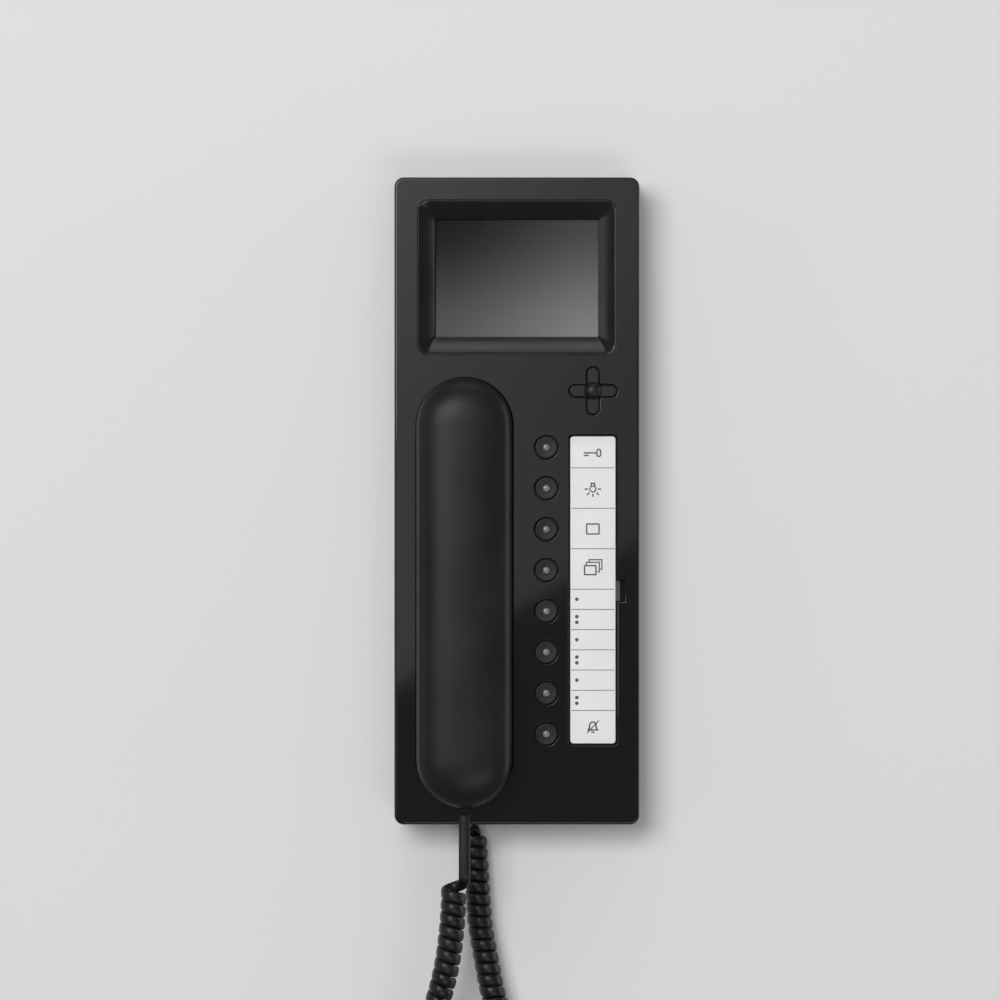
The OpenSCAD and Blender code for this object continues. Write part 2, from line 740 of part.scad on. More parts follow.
wall_plate();
terminal_block();
terminal_screws();
link_connector();
ringer_speaker();
cord_socket();
main_board();
board_components();
reed_switch();
board_screws();
board_spacers();
key_board();
key_switches();
switch_actuators();
nav_switch();
display_board();
display_ribbon();
at_screen() lcd_frame();
at_screen() lcd_panel();
at_screen() screen_window();
front_housing();
at_screen() screen_bezel();
handset_cradle();
cradle_keepers();
label_tray();
label_sheet();
label_cover();
for (i = [1:key_n]) {
    key(i);
    key_lens(i);
}
nav_pivot();
nav_cross();
nav_dome();
handset_front();
handset_back();
handset_socket();
handset_screws();
handset_magnets();
ear_capsule();
mic_capsule();
mic_boot();
cord_plug_handset();
cord_lead_handset();
cord_coil();
cord_lead_base();
cord_plug_base();
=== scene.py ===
import json
import math

import bmesh
import bpy
from bpy.props import FloatProperty, FloatVectorProperty, IntProperty, PointerProperty
from mathutils import Matrix, Vector


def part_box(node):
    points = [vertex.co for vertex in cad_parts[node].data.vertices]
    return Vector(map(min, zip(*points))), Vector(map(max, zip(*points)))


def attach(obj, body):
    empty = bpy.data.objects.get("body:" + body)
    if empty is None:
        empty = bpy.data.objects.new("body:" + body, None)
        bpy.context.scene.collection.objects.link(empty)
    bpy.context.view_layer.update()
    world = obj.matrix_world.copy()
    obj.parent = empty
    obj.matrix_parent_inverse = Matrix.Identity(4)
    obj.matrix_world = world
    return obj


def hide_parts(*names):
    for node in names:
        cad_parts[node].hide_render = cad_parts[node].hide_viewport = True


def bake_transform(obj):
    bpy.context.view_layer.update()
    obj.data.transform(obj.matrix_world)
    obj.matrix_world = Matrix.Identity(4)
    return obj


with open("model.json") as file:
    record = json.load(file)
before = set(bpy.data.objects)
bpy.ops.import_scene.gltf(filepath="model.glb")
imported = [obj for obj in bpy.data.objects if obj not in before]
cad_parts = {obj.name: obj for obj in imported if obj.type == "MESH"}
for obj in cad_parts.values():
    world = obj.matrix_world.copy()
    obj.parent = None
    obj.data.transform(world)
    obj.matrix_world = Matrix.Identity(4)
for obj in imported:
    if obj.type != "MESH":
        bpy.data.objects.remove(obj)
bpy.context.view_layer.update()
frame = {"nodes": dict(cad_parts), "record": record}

bl_info = {
    "name": "Door intercom surfaces",
    "version": (1, 0, 0),
    "blender": (4, 5, 0),
    "location": "View3D > Sidebar > Intercom",
    "description": "Builds the visible surfaces of a wall intercom round its packed frame",
    "category": "Object",
}

MM = 0.001
WELD = 2e-6


# ---------- Places taken from the frame ----------

class Place:
    """Where a CAD node is: its middle, its size and its depths from the wall, in metres."""

    def __init__(self, node):
        low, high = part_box(node)
        self.x, self.z = (low.x + high.x) / 2, (low.z + high.z) / 2
        self.w, self.h = high.x - low.x, high.z - low.z
        self.near, self.far = -high.y, -low.y
        self.left, self.right, self.bottom, self.top = low.x, high.x, low.z, high.z


HOUSING = Place("front_housing")
BEZEL = Place("screen_bezel")
WINDOW = Place("screen_window")
PANEL = Place("lcd_panel")
HANDSET = Place("handset_front")
SHEET = Place("label_sheet")
COVER = Place("label_cover")
KEYS = sorted((n for n in frame["nodes"] if n[:4] == "key_" and n[4:].isdigit()), key=lambda n: int(n[4:]))
NAV = Place("nav_cross")
DOME = Place("nav_dome")
BASE_PLUG = Place("cord_plug_base")
HANDSET_PLUG = Place("cord_plug_handset")
RINGER = Place("ringer_speaker")
SLOT_OF = {part["node"]: part["material_slot"] for part in frame["record"]["subparts"]}
BODY_OF = {name: body for body, names in frame["record"]["behaviour"]["bodies"].items() for name in names}

# The middle line of the curly part of the cord, in millimetres, from the housing to the handset.
COIL_ROUTE = [
    (-18.5, -8, -138), (-17.5, -8, -151), (-16.5, -8.5, -166), (-15.5, -9, -180),
    (-13, -10, -194), (-10, -11, -209), (-5, -12, -225), (0, -13, -241),
    (4.5, -14, -257), (7, -15, -273), (7, -16, -289), (4, -17, -304),
    (-2, -18, -318), (-11, -19, -328), (-22, -20, -332), (-33, -21, -328),
    (-42, -22, -318), (-49, -23, -304), (-52, -24, -289), (-51.5, -25.5, -273),
    (-48.5, -27, -257), (-44, -28.5, -241), (-38.5, -30, -225), (-33, -31.5, -209),
    (-29.5, -32.5, -195), (-27.5, -33, -181), (-26.5, -33, -168), (-26.5, -33, -158)]
BASE_LEAD = [(-18.5, -8, -131), (-18.5, -8, -134.5), (-18.5, -8, -138)]
HANDSET_LEAD = [(-22, -33, -131.5), (-22, -33, -138), (-22, -33, -145), (-22, -33, -151.5),
                (-22, -33, -157.8)]
# Between these distances from the coil's two ends the winding grows to its full pitch, in metres.
WIND_IN = (-0.0015, 0.0085)
WIND_OUT = (-0.002, 0.005)
# Over this length the last turn closes on the coil's middle line.
TAPER = 0.0045

CAMERA_PLACE = (-0.0071, -1.602, 0.0004)
BEZEL_CORNER = 4.4 * MM
# The opening at the foot of the screen's slopes, and the part of the panel that carries the painted
# reflection, from its middle.
VIEW_W, VIEW_H, VIEW_DEPTH = 69 * MM, 50 * MM, 22.5 * MM
REFLECTION_LEFT, REFLECTION_RIGHT, REFLECTION_HALF = 34.1 * MM, 34.3 * MM, 24.6 * MM
# The finger tab at the right of the label's cover.
COVER_TAB_Z, COVER_TAB_H = -37.8 * MM, 8.6 * MM
# The width of a printed line in the label's signs, in millimetres.
PEN = 0.6


# ---------- Sizes and colours a user may change ----------

def size(name, description, default):
    return FloatProperty(name=name, description=description, default=default * MM, unit="LENGTH", precision=5)


def colour(name, description, default):
    return FloatVectorProperty(name=name, description=description, default=default, subtype="COLOR", size=3,
                               min=0, max=1)


class IntercomSizes(bpy.types.PropertyGroup):
    """Sizes of the visible detail that the frame leaves open."""

    corner: size("Housing corner", "Radius of the four corners of the face", 4)
    wall: size("Housing wall", "Thickness of the moulded wall", 2.5)
    edge: size("Housing edge", "Radius where the face turns into the sides", 1)
    rim: size("Opening rim", "Radius round each opening in the face", 0.3)
    gap: size("Handset gap", "Free gap round the handset", 0.4)
    key: size("Key width", "Diameter of a key's cap", 9)
    key_gap: size("Key gap", "Free gap round a key", 0.6)
    key_dish: size("Key dish", "How far a key's top is hollowed", 0.12)
    label_gap: size("Label gap", "Free gap round the label", 0.9)
    bezel_gap: size("Screen gap", "Free gap round the screen frame", 0.15)
    lens: size("Lens width", "Diameter of the light guide in a key", 2.94)
    cross: size("Cross length", "Length of the navigation cross along an arm pair", 19.6)
    arm: size("Arm width", "Width of an arm of the navigation cross", 4.8)
    cross_gap: size("Cross gap", "Free gap round the navigation cross", 0.5)
    handset_split: size("Handset joint", "Depth of the joint between the handset's shells", 30)
    cord_width: size("Cord width", "Width of the flat cord", 4.8)
    cord_thickness: size("Cord thickness", "Thickness of the flat cord", 2.4)
    coil_radius: size("Coil radius", "Radius of the cord's own middle line in the coil", 4.45)
    coil_pitch: size("Coil pitch", "Distance between two turns of the coil", 4.98)
    turn_steps: IntProperty(name="Steps in a turn", description="Rings of the cord in each turn", default=32,
                            min=16, max=48)


class IntercomColours(bpy.types.PropertyGroup):
    """Colours of the finishes and the wall, as linear values."""

    lacquer: colour("Housing black", "High gloss black of the housing and the screen frame",
                    (0.0040, 0.0040, 0.0044))
    shell: colour("Handset black", "Satin black of the handset", (0.0125, 0.0125, 0.0132))
    keys: colour("Key black", "Satin black of the keys", (0.013, 0.013, 0.0135))
    lens: colour("Lens grey", "Grey of the light guides", (0.17, 0.172, 0.178))
    paper: colour("Label white", "White of the paper label", (0.90, 0.90, 0.915))
    ink: colour("Label ink", "Black of the printed symbols", (0.010, 0.0104, 0.0115))
    cord: colour("Cord black", "Black of the curly cord", (0.007, 0.007, 0.0074))
    plate: colour("Plate grey", "Grey of the wall plate", (0.10, 0.102, 0.106))
    wall: colour("Wall", "Painted wall behind the intercom", (0.745, 0.748, 0.755))


# ---------- Finishes ----------

class Wire:
    """A shader value. Sums on it add Math nodes, and plain numbers stay plain."""

    def __init__(self, finish, socket):
        self.finish, self.socket = finish, socket

    def sum(self, operation, *terms):
        return self.finish.node("ShaderNodeMath", {"operation": operation}, dict(enumerate(terms)))

    def __add__(self, other):
        return self.sum("ADD", self, other)

    def __sub__(self, other):
        return self.sum("SUBTRACT", self, other)

    def __rsub__(self, other):
        return self.sum("SUBTRACT", other, self)

    def __mul__(self, other):
        return self.sum("MULTIPLY", self, other)

    def __pow__(self, other):
        return self.sum("POWER", self, other)

    def __gt__(self, other):
        return self.sum("GREATER_THAN", self, other)

    def __lt__(self, other):
        return self.sum("LESS_THAN", self, other)

    __radd__, __rmul__ = __add__, __mul__


class Finish:
    """A material and the nodes that make it."""

    def __init__(self, name):
        self.material = bpy.data.materials.new(name)
        self.material.use_nodes = True
        self.tree = self.material.node_tree
        self.tree.nodes.clear()

    def node(self, kind, settings=None, inputs=None, output=0):
        made = self.tree.nodes.new(kind)
        for name, value in (settings or {}).items():
            if name == "stops":
                ends = made.color_ramp.elements
                (ends[0].position, ends[0].color), (ends[1].position, ends[1].color) = value[0], value[-1]
                for place, shade in value[1:-1]:
                    ends.new(place).color = shade
            else:
                setattr(made, name, value)
        for name, value in (inputs or {}).items():
            if isinstance(value, Wire):
                self.tree.links.new(value.socket, made.inputs[name])
            else:
                made.inputs[name].default_value = value
        return Wire(self, made.outputs[output]) if made.outputs else None

    def place(self):
        return self.node("ShaderNodeTexCoord", output="Object")

    def axis(self, which):
        return self.node("ShaderNodeSeparateXYZ", {}, {0: self.place()}, which)

    def noise(self, grain, detail=2.0, spot=None, stretch=(1, 1, 1)):
        """Noise from 0 to 1 whose grains are about that many metres across."""
        moved = self.node("ShaderNodeMapping", {}, {"Vector": spot or self.place(), "Scale": stretch})
        return self.node("ShaderNodeTexNoise", {}, {"Vector": moved, "Scale": 1 / grain, "Detail": detail})

    def step(self, value, low, high, bottom=0.0, top=1.0):
        return self.node("ShaderNodeMapRange", {"interpolation_type": "SMOOTHSTEP"},
                         {"Value": value, "From Min": low, "From Max": high, "To Min": bottom, "To Max": top})

    def mix(self, share, first, second):
        shades = [c if isinstance(c, Wire) else (*c, 1) for c in (first, second)]
        return self.node("ShaderNodeMix", {"data_type": "RGBA"}, {0: share, 6: shades[0], 7: shades[1]}, 2)

    def bump(self, height, depth, under=None):
        inputs = {"Height": height, "Distance": depth, "Strength": 1.0}
        if under:
            inputs["Normal"] = under
        return self.node("ShaderNodeBump", {}, inputs)

    def surface(self, inputs):
        shader = self.node("ShaderNodeBsdfPrincipled", {}, inputs)
        self.node("ShaderNodeOutputMaterial", {}, {"Surface": shader})
        return self.material


def tinted(shade, factor):
    return tuple(min(1.0, c * factor) for c in shade)


def moulded(f, shade, rough, spread, grain, depth, gloss=0.5):
    """Moulded plastic: a fine cavity texture, a slow drift in gloss and slightly uneven colour."""
    drift = f.noise(0.03, 3)
    fine = f.noise(grain, 3)
    return f.surface({
        "Base Color": f.mix(f.step(drift, 0.3, 0.7), tinted(shade, 0.9), tinted(shade, 1.12)),
        "Roughness": f.step(drift, 0.3, 0.7, rough - spread, rough + spread),
        "IOR": 1.5,
        "Specular IOR Level": gloss,
        "Normal": f.bump(fine, depth, f.bump(f.noise(grain * 9, 2), depth * 1.5)),
    })


def gloss_black(f, c):
    """Polished lacquer-like plastic with hairline scuffs and a little dust in the gloss."""
    haze = f.step(f.noise(0.045, 4), 0.35, 0.75)
    scuffs = f.step(f.noise(0.0012, 2, stretch=(1, 1, 0.04)), 0.70, 0.78)
    dust = f.step(f.noise(0.0009, 1), 0.74, 0.80)
    return f.surface({
        "Base Color": f.mix(dust, c.lacquer, tinted(c.lacquer, 2.2)),
        "Roughness": 0.045 + 0.02 * haze + 0.03 * scuffs + 0.10 * dust,
        "IOR": 1.5,
        "Normal": f.bump(f.noise(0.012, 1), 0.000004),
    })


def bezel_black(f, c):
    haze = f.step(f.noise(0.02, 3), 0.3, 0.7)
    return f.surface({
        "Base Color": f.mix(haze, tinted(c.lacquer, 1.2), tinted(c.lacquer, 1.7)),
        "Roughness": 0.19 + 0.05 * haze,
        "IOR": 1.5,
        "Specular IOR Level": 0.38,
        "Normal": f.bump(f.noise(0.0004, 2), 0.000002),
    })


def satin_black(f, c):
    return moulded(f, c.shell, 0.34, 0.03, 0.00035, 0.000007, 0.14)


def key_black(f, c):
    return moulded(f, c.keys, 0.36, 0.04, 0.00030, 0.000005, 0.19)


def lens_grey(f, c):
    """Smoky light guide with faint moulding swirls."""
    swirl = f.noise(0.0011, 3)
    return f.surface({
        "Base Color": f.mix(f.step(swirl, 0.35, 0.65), tinted(c.lens, 0.85), tinted(c.lens, 1.12)),
        "Roughness": 0.16 + 0.06 * swirl,
        "IOR": 1.49,
        "Subsurface Weight": 0.15,
        "Subsurface Radius": (0.001, 0.001, 0.001),
        "Normal": f.bump(swirl, 0.000006),
    })


def clear_window(f, c):
    """Clear window: nearly all see-through, with the gloss of its front face."""
    smear = f.step(f.noise(0.018, 4), 0.45, 0.75)
    glass = f.node("ShaderNodeBsdfTransparent", {}, {"Color": (0.97, 0.975, 0.98, 1)})
    gloss = f.node("ShaderNodeBsdfPrincipled", {}, {
        "Base Color": (0.006, 0.006, 0.007, 1), "Roughness": 0.03 + 0.04 * smear, "IOR": 1.5})
    share = 0.04 + 0.96 * f.node("ShaderNodeLayerWeight", {}, {"Blend": 0.5}, "Facing") ** 5
    both = f.node("ShaderNodeMixShader", {}, {0: share + 0.02 * smear, 1: glass, 2: gloss})
    f.node("ShaderNodeOutputMaterial", {}, {"Surface": both})
    return f.material


def label_clear(f, c):
    """Clear cover over the label: only its gloss and its edges show."""
    smear = f.step(f.noise(0.011, 4), 0.4, 0.75)
    return f.surface({
        "Base Color": (0.75, 0.76, 0.77, 1), "Roughness": 0.06 + 0.05 * smear, "IOR": 1.5,
        "Alpha": 0.05 + 0.02 * smear, "Normal": f.bump(f.noise(0.02, 1), 0.00001),
    })


def paper(f, c):
    """Uncoated paper: short fibres, a faint cloudiness and a soft tooth."""
    fibre = f.noise(0.0007, 5, stretch=(1, 1, 0.35))
    cloud = f.noise(0.009, 3)
    return f.surface({
        "Base Color": f.mix(f.step(cloud + fibre * 0.4, 0.4, 1.0), tinted(c.paper, 0.975), c.paper),
        "Roughness": 0.82 + 0.1 * fibre, "IOR": 1.45,
        "Normal": f.bump(fibre, 0.00001),
    })


def ink(f, c):
    """Printed ink that sits a little unevenly on the paper."""
    patch = f.noise(0.0004, 4)
    return f.surface({
        "Base Color": f.mix(f.step(patch, 0.3, 0.7), c.ink, tinted(c.ink, 1.6)),
        "Roughness": 0.55 + 0.2 * patch, "Normal": f.bump(patch, 0.000004),
    })


def ink_pale(f, c):
    patch = f.noise(0.0004, 4)
    return f.surface({
        "Base Color": f.mix(f.step(patch, 0.3, 0.7), tinted(c.ink, 12), tinted(c.ink, 15)),
        "Roughness": 0.6 + 0.2 * patch, "Normal": f.bump(patch, 0.000004),
    })


def plate_grey(f, c):
    return moulded(f, c.plate, 0.46, 0.05, 0.0005, 0.000012)


def inner_black(f, c):
    # Darker than the keys' black: painted shade, so the gap round the label, where the tray shows, reads
    # black.
    return moulded(f, tinted(c.keys, 0.3), 0.55, 0.05, 0.0004, 0.00001, 0.08)


def cord_black(f, c):
    """Flexible jacket: fine extrusion lines along it, a slow sheen drift and a little dust."""
    along = f.node("ShaderNodeTexCoord", output="UV")
    lines = f.noise(0.02, 3, along, (1, 0.25, 1))
    fine = f.noise(0.00028, 3)
    drift = f.noise(0.012, 3)
    return f.surface({
        "Base Color": f.mix(f.step(drift, 0.35, 0.7), tinted(c.cord, 0.85), tinted(c.cord, 1.25)),
        "Roughness": f.step(drift, 0.3, 0.7, 0.30, 0.38),
        "IOR": 1.5,
        "Specular IOR Level": 0.26,
        "Normal": f.bump(lines, 0.000025, f.bump(fine, 0.000006)),
    })


def plug_black(f, c):
    return moulded(f, tinted(c.cord, 0.8), 0.36, 0.04, 0.0004, 0.000008, 0.15)


def rubber_black(f, c):
    return moulded(f, tinted(c.cord, 1.3), 0.62, 0.05, 0.0003, 0.00001)


def component_black(f, c):
    return moulded(f, (0.014, 0.014, 0.015), 0.44, 0.05, 0.0002, 0.00001)


def brushed(f, shade, rough, stretch, grain=0.0006):
    """Metal with fine lines across it and darker patches of handling."""
    lines = f.noise(grain, 4, stretch=stretch)
    patch = f.noise(0.006, 3)
    return f.surface({
        "Base Color": f.mix(f.step(patch, 0.3, 0.7), tinted(shade, 0.82), shade),
        "Metallic": 1.0, "Roughness": rough + 0.16 * lines,
        "Normal": f.bump(lines, 0.000008),
    })


def steel(f, c):
    return brushed(f, (0.56, 0.56, 0.55), 0.24, (1, 1, 0.05))


def magnet(f, c):
    return brushed(f, (0.62, 0.61, 0.58), 0.18, (1, 1, 1), 0.0015)


def brass(f, c):
    return brushed(f, (0.72, 0.52, 0.25), 0.26, (1, 0.05, 1))


def board_green(f, c):
    """Circuit board: copper tracks under green lacquer on a woven base."""
    spot = f.place()
    rows = f.node("ShaderNodeTexBrick", {"offset": 0.5, "squash": 1.0}, {
        "Vector": f.node("ShaderNodeMapping", {}, {"Vector": spot, "Rotation": (math.pi / 2, 0, 0)}),
        "Scale": 90.0, "Mortar Size": 0.045, "Mortar Smooth": 0.1, "Bias": 0.0,
        "Brick Width": 0.9, "Row Height": 0.22}, "Fac")
    weave = f.noise(0.0005, 2, stretch=(1, 1, 0.3))
    pads = f.step(f.node("ShaderNodeTexVoronoi", {}, {"Vector": spot, "Scale": 160.0}), 0.13, 0.16, 1, 0)
    green = f.mix(rows, (0.012, 0.075, 0.030), (0.03, 0.15, 0.055))
    return f.surface({
        "Base Color": f.mix(pads, green, (0.55, 0.53, 0.48)),
        "Metallic": pads * 0.8, "Roughness": 0.34 + 0.15 * weave,
        "Normal": f.bump(rows, 0.00003, f.bump(weave, 0.00001)),
    })


def flex_amber(f, c):
    lines = f.node("ShaderNodeTexWave", {"bands_direction": "X"},
                   {"Vector": f.place(), "Scale": 500.0, "Distortion": 0.0})
    return f.surface({
        "Base Color": f.mix(f.step(lines, 0.45, 0.55), (0.42, 0.15, 0.02), (0.60, 0.30, 0.07)),
        "Roughness": 0.28 + 0.1 * f.noise(0.004, 2), "Normal": f.bump(lines, 0.00001),
    })


def terminal_green(f, c):
    return moulded(f, (0.045, 0.24, 0.09), 0.38, 0.05, 0.0004, 0.00001)


def reed_glass(f, c):
    swirl = f.noise(0.002, 2)
    return f.surface({
        "Base Color": f.mix(swirl, (0.55, 0.62, 0.60), (0.70, 0.75, 0.74)), "Roughness": 0.05 + 0.04 * swirl,
        "Alpha": 0.45 + 0.1 * swirl, "IOR": 1.5,
    })


def actuator_white(f, c):
    return moulded(f, (0.62, 0.61, 0.57), 0.42, 0.05, 0.0003, 0.000008)


def lcd(f, c):
    """The switched-off screen with a painted reflection: a neutral emitted gradient that grows towards its
    lower right corner, in a dark border.
    """
    x = f.step(f.axis(0), PANEL.left, PANEL.right)
    z = f.step(f.axis(2), PANEL.top, PANEL.bottom)
    cells = f.noise(0.0003, 1, stretch=(1, 1, 3))
    # Painted reflection: this emitted gradient stands in for the sheen that the dark screen reflects.
    glow = (0.35 * x + 0.52 * z + 0.13 * (x * z)) ** 1.43
    painted_reflection_area = (f.axis(0) > PANEL.x - REFLECTION_LEFT) * (f.axis(0) < PANEL.x + REFLECTION_RIGHT)
    painted_reflection_area = painted_reflection_area * (f.axis(2) > PANEL.z - REFLECTION_HALF) * (f.axis(2) < PANEL.z + REFLECTION_HALF)
    glow = f.mix(glow, (0.004, 0.004, 0.0042), (0.229, 0.230, 0.232))
    return f.surface({
        "Base Color": (0.003, 0.003, 0.0035, 1),
        "Roughness": 0.42 + 0.1 * cells,
        "Specular IOR Level": 0.05,
        "Emission Color": f.mix(painted_reflection_area, (0.001, 0.001, 0.001), glow),
        "Emission Strength": 1.0,
    })


LOOKS = {look.__name__: look for look in (
    gloss_black, bezel_black, satin_black, key_black, lens_grey, clear_window, label_clear, paper, ink,
    ink_pale, plate_grey, inner_black, cord_black, plug_black, rubber_black, component_black, steel, magnet,
    brass, board_green, flex_amber, terminal_green, reed_glass, actuator_white, lcd)}
# The materials by look, because the frame's own materials carry the same names.
MADE = {}


def finish(name):
    """The material of that look, made the first time it is asked for."""
    if name not in MADE:
        MADE[name] = LOOKS[name](Finish(name), bpy.context.scene.intercom_colours)
    return MADE[name]


# ---------- Modelling ----------

FRONT = Matrix.Rotation(math.pi / 2, 4, "X")


def at(x, depth, z):
    """The matrix that stands a shape made flat on the floor against the wall, its top towards the room."""
    return Matrix.Translation((x, -depth, z)) @ FRONT


def under(x, depth, z):
    """The matrix that lays a shape made flat on the floor at a height, facing down."""
    return Matrix.Translation((x, -depth, z)) @ Matrix.Rotation(math.pi, 4, "X")


def patch(bm, matrix, w, h, rows=1):
    """The corners of a flat rectangle, made on the floor and moved by a matrix."""
    made = bmesh.ops.create_grid(bm, x_segments=1, y_segments=rows, size=0.5)["verts"]
    bmesh.ops.transform(bm, matrix=matrix @ Matrix.Diagonal((w, h, 1, 1)), verts=made)
    return made


def rectangle(bm, w, h, radius, depth, x=0.0, z=0.0, steps=12, stand=at):
    """A rounded rectangle that faces the room, or down."""
    made = patch(bm, stand(x, depth, z), w, h)
    return rounded(bm, made[0].link_faces[0], made, radius, steps)


def rounded(bm, face, corners, radius, steps):
    """Rounds those corners of a flat face. Corners that meet in a half circle are welded."""
    kept = {f for f in bm.faces if f is not face}
    bmesh.ops.bevel(bm, geom=corners, offset=radius, offset_type="OFFSET", affect="VERTICES", segments=steps,
                    profile=0.5, material=-1)
    face = next(f for f in bm.faces if f not in kept)
    bmesh.ops.remove_doubles(bm, verts=face.verts, dist=WELD)
    return next(f for f in bm.faces if f not in kept)


def stadium(bm, w, l, depth, x, z, steps):
    """A flat shape with two straight sides and two half circles."""
    return rectangle(bm, w, l, w / 2 - 0.4 * WELD, depth, x, z, steps)


def disc(bm, diameter, depth, x, z, steps=64):
    """A flat round face towards the room."""
    made = bmesh.ops.create_circle(bm, cap_ends=True, segments=steps, radius=diameter / 2,
                                   matrix=at(x, depth, z))
    return made["verts"][0].link_faces[0]


def cross(bm, length, width, depth, x, z):
    """A plus with round ends that faces the room."""
    middle = patch(bm, at(x, depth, z), width, width)[0].link_faces[0]
    corners = []
    for edge in list(middle.edges):
        out = (edge.verts[0].co + edge.verts[1].co) / 2 - Vector((x, -depth, z))
        tips = points_of(bmesh.ops.extrude_edge_only(bm, edges=[edge]))
        bmesh.ops.translate(bm, vec=out.normalized() * (length - width) / 2, verts=tips)
        corners += tips
    arms = {f for v in corners for f in v.link_faces} | {middle}
    face = bmesh.ops.dissolve_faces(bm, faces=list(arms))["region"][0]
    return rounded(bm, face, corners, width / 2 - 0.4 * WELD, 12)


def points_of(made):
    """The vertices among what an operator made."""
    return [g for g in made["geom"] if isinstance(g, bmesh.types.BMVert)]


def step_in(bm, face, steps):
    """Insets a face step by step, each a width and a rise towards where it faces, and returns it."""
    for width, rise in steps:
        bmesh.ops.inset_region(bm, faces=[face], thickness=width, depth=rise, use_boundary=True,
                               use_even_offset=True)
    return face


def over(radius, steps):
    """The steps of a rounded edge that rises into a face."""
    turn = [math.pi / 2 * i / steps for i in range(steps + 1)]
    return [(radius * (math.cos(a) - math.cos(b)), radius * (math.sin(b) - math.sin(a)))
            for a, b in zip(turn, turn[1:])]


def open_up(bm, face):
    bmesh.ops.delete(bm, geom=[face], context="FACES_ONLY")


def opening(bm, face, rim, depth):
    """Rounds the edge of an opening, runs its wall down to that depth and leaves it open."""
    falls = [(width, -rise) for rise, width in over(rim, 4)]
    step_in(bm, face, falls + [(0, rim - depth)])
    open_up(bm, face)


def border(bm, axis, value):
    """The open edges that lie in a plane."""
    return [e for e in bm.edges
            if len(e.link_faces) < 2 and all(abs(v.co[axis] - value) < WELD for v in e.verts)]


def fill(bm, axis, value):
    """Fills the open edges in a plane and leaves the holes that they draw."""
    bmesh.ops.triangle_fill(bm, edges=border(bm, axis, value), use_beauty=True)


def wall_back(bm, depth, run):
    """Runs a wall back towards the wall plate from the open edges at a depth."""
    made = bmesh.ops.extrude_edge_only(bm, edges=border(bm, 1, -depth))
    bmesh.ops.translate(bm, vec=(0, run, 0), verts=points_of(made))


def solid(bm, face, place):
    """Makes a slab of a flat face: from a place's front, where the face is, back to its rear."""
    back = bmesh.ops.extrude_face_region(bm, geom=[face], use_keep_orig=True)
    bmesh.ops.translate(bm, vec=(0, place.far - place.near, 0), verts=points_of(back))


def loft(bm, faces, closed=False):
    """Joins flat faces in turn into one solid that ends in the first and the last, or into a closed ring."""
    edges = [list(face.edges) for face in faces]
    for face in faces if closed else faces[1:-1]:
        open_up(bm, face)
    for a, b in zip(edges, edges[1:]):
        bmesh.ops.bridge_loops(bm, edges=a + b)
    if closed:
        bmesh.ops.bridge_loops(bm, edges=edges[0] + edges[-1])


def take_out(bm, axis, value):
    """Takes out the faces that lie in a plane."""
    flat = [f for f in bm.faces if all(abs(v.co[axis] - value) < WELD for v in f.verts)]
    bmesh.ops.delete(bm, geom=flat, context="FACES_ONLY")


def spun(bm, line, x, z, steps):
    """Turns a line of (radius, depth) points about an axis that stands out of the wall."""
    start = len(bm.verts)
    points = [bm.verts.new((x + radius, -depth, z)) for radius, depth in line]
    edges = [bm.edges.new(pair) for pair in zip(points, points[1:])]
    bmesh.ops.spin(bm, geom=points + edges, cent=(x, 0, z), axis=(0, -1, 0), angle=2 * math.pi, steps=steps,
                   use_merge=True)
    bm.verts.ensure_lookup_table()
    bmesh.ops.remove_doubles(bm, verts=bm.verts[start:], dist=WELD)


def arc(radius, depth, turn_from, turn_to, curve, steps):
    """Points of a round corner: its middle at (radius, depth), from one angle to another in degrees."""
    angles = [math.radians(turn_from + (turn_to - turn_from) * i / steps) for i in range(steps + 1)]
    return [(radius + curve * math.cos(a), depth + curve * math.sin(a)) for a in angles]


def domed(radius, foot, top, steps):
    """Points of a dome over a round foot, from just above its edge to its middle."""
    angles = [math.pi / 2 * i / steps for i in range(1, steps)]
    return [(radius * math.cos(a), foot + (top - foot) * math.sin(a)) for a in angles] + [(0, top)]


def solid_box(bm, x, z, w, h, near, far, edge, steps=2):
    """A box with softened edges, between two depths from the wall."""
    made = bmesh.ops.create_cube(bm, size=1)["verts"]
    bmesh.ops.transform(bm, matrix=Matrix.Translation((x, -(near + far) / 2, z))
                        @ Matrix.Diagonal((w, far - near, h, 1)), verts=made)
    edges = list({e for v in made for e in v.link_edges})
    bmesh.ops.bevel(bm, geom=edges, offset=edge, offset_type="OFFSET", affect="EDGES", segments=steps,
                    profile=0.5, material=-1)


def finished_mesh(name, bm, look, sharp=35.0, recalculate=True):
    bmesh.ops.remove_doubles(bm, verts=bm.verts, dist=WELD / 2)
    if recalculate:
        bmesh.ops.recalc_face_normals(bm, faces=bm.faces)
    mesh = bpy.data.meshes.new(name)
    bm.to_mesh(mesh)
    bm.free()
    mesh.shade_smooth()
    mesh.set_sharp_from_angle(angle=math.radians(sharp))
    mesh.materials.append(finish(look))
    made = bpy.data.objects.new(name, mesh)
    bpy.context.scene.collection.objects.link(made)
    return made


def piece(name, bm, look, body, replaces=(), sharp=35.0, recalculate=True, even=True):
    """Makes a piece of that look that rides on a body and stands for those CAD nodes."""
    made = finished_mesh(name, bm, look, sharp, recalculate)
    if even:
        made.modifiers.new("Even shading", "WEIGHTED_NORMAL").keep_sharp = True
    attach(made, body)
    if replaces:
        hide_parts(*replaces)
    return made


def press_flat(made, directions):
    """Gives the corners of each flat side that side's own direction, so a gloss stays even across it."""
    seen = {}
    for polygon in made.data.polygons:
        for direction in directions:
            if polygon.normal.dot(direction) > 0.99995:
                for v in polygon.vertices:
                    seen.setdefault(v, set()).add(tuple(direction))
    normals = [Vector((0, 0, 0))] * len(made.data.vertices)
    for v, found in seen.items():
        if len(found) == 1:
            normals[v] = Vector(next(iter(found)))
    made.data.normals_split_custom_set_from_vertices(normals)


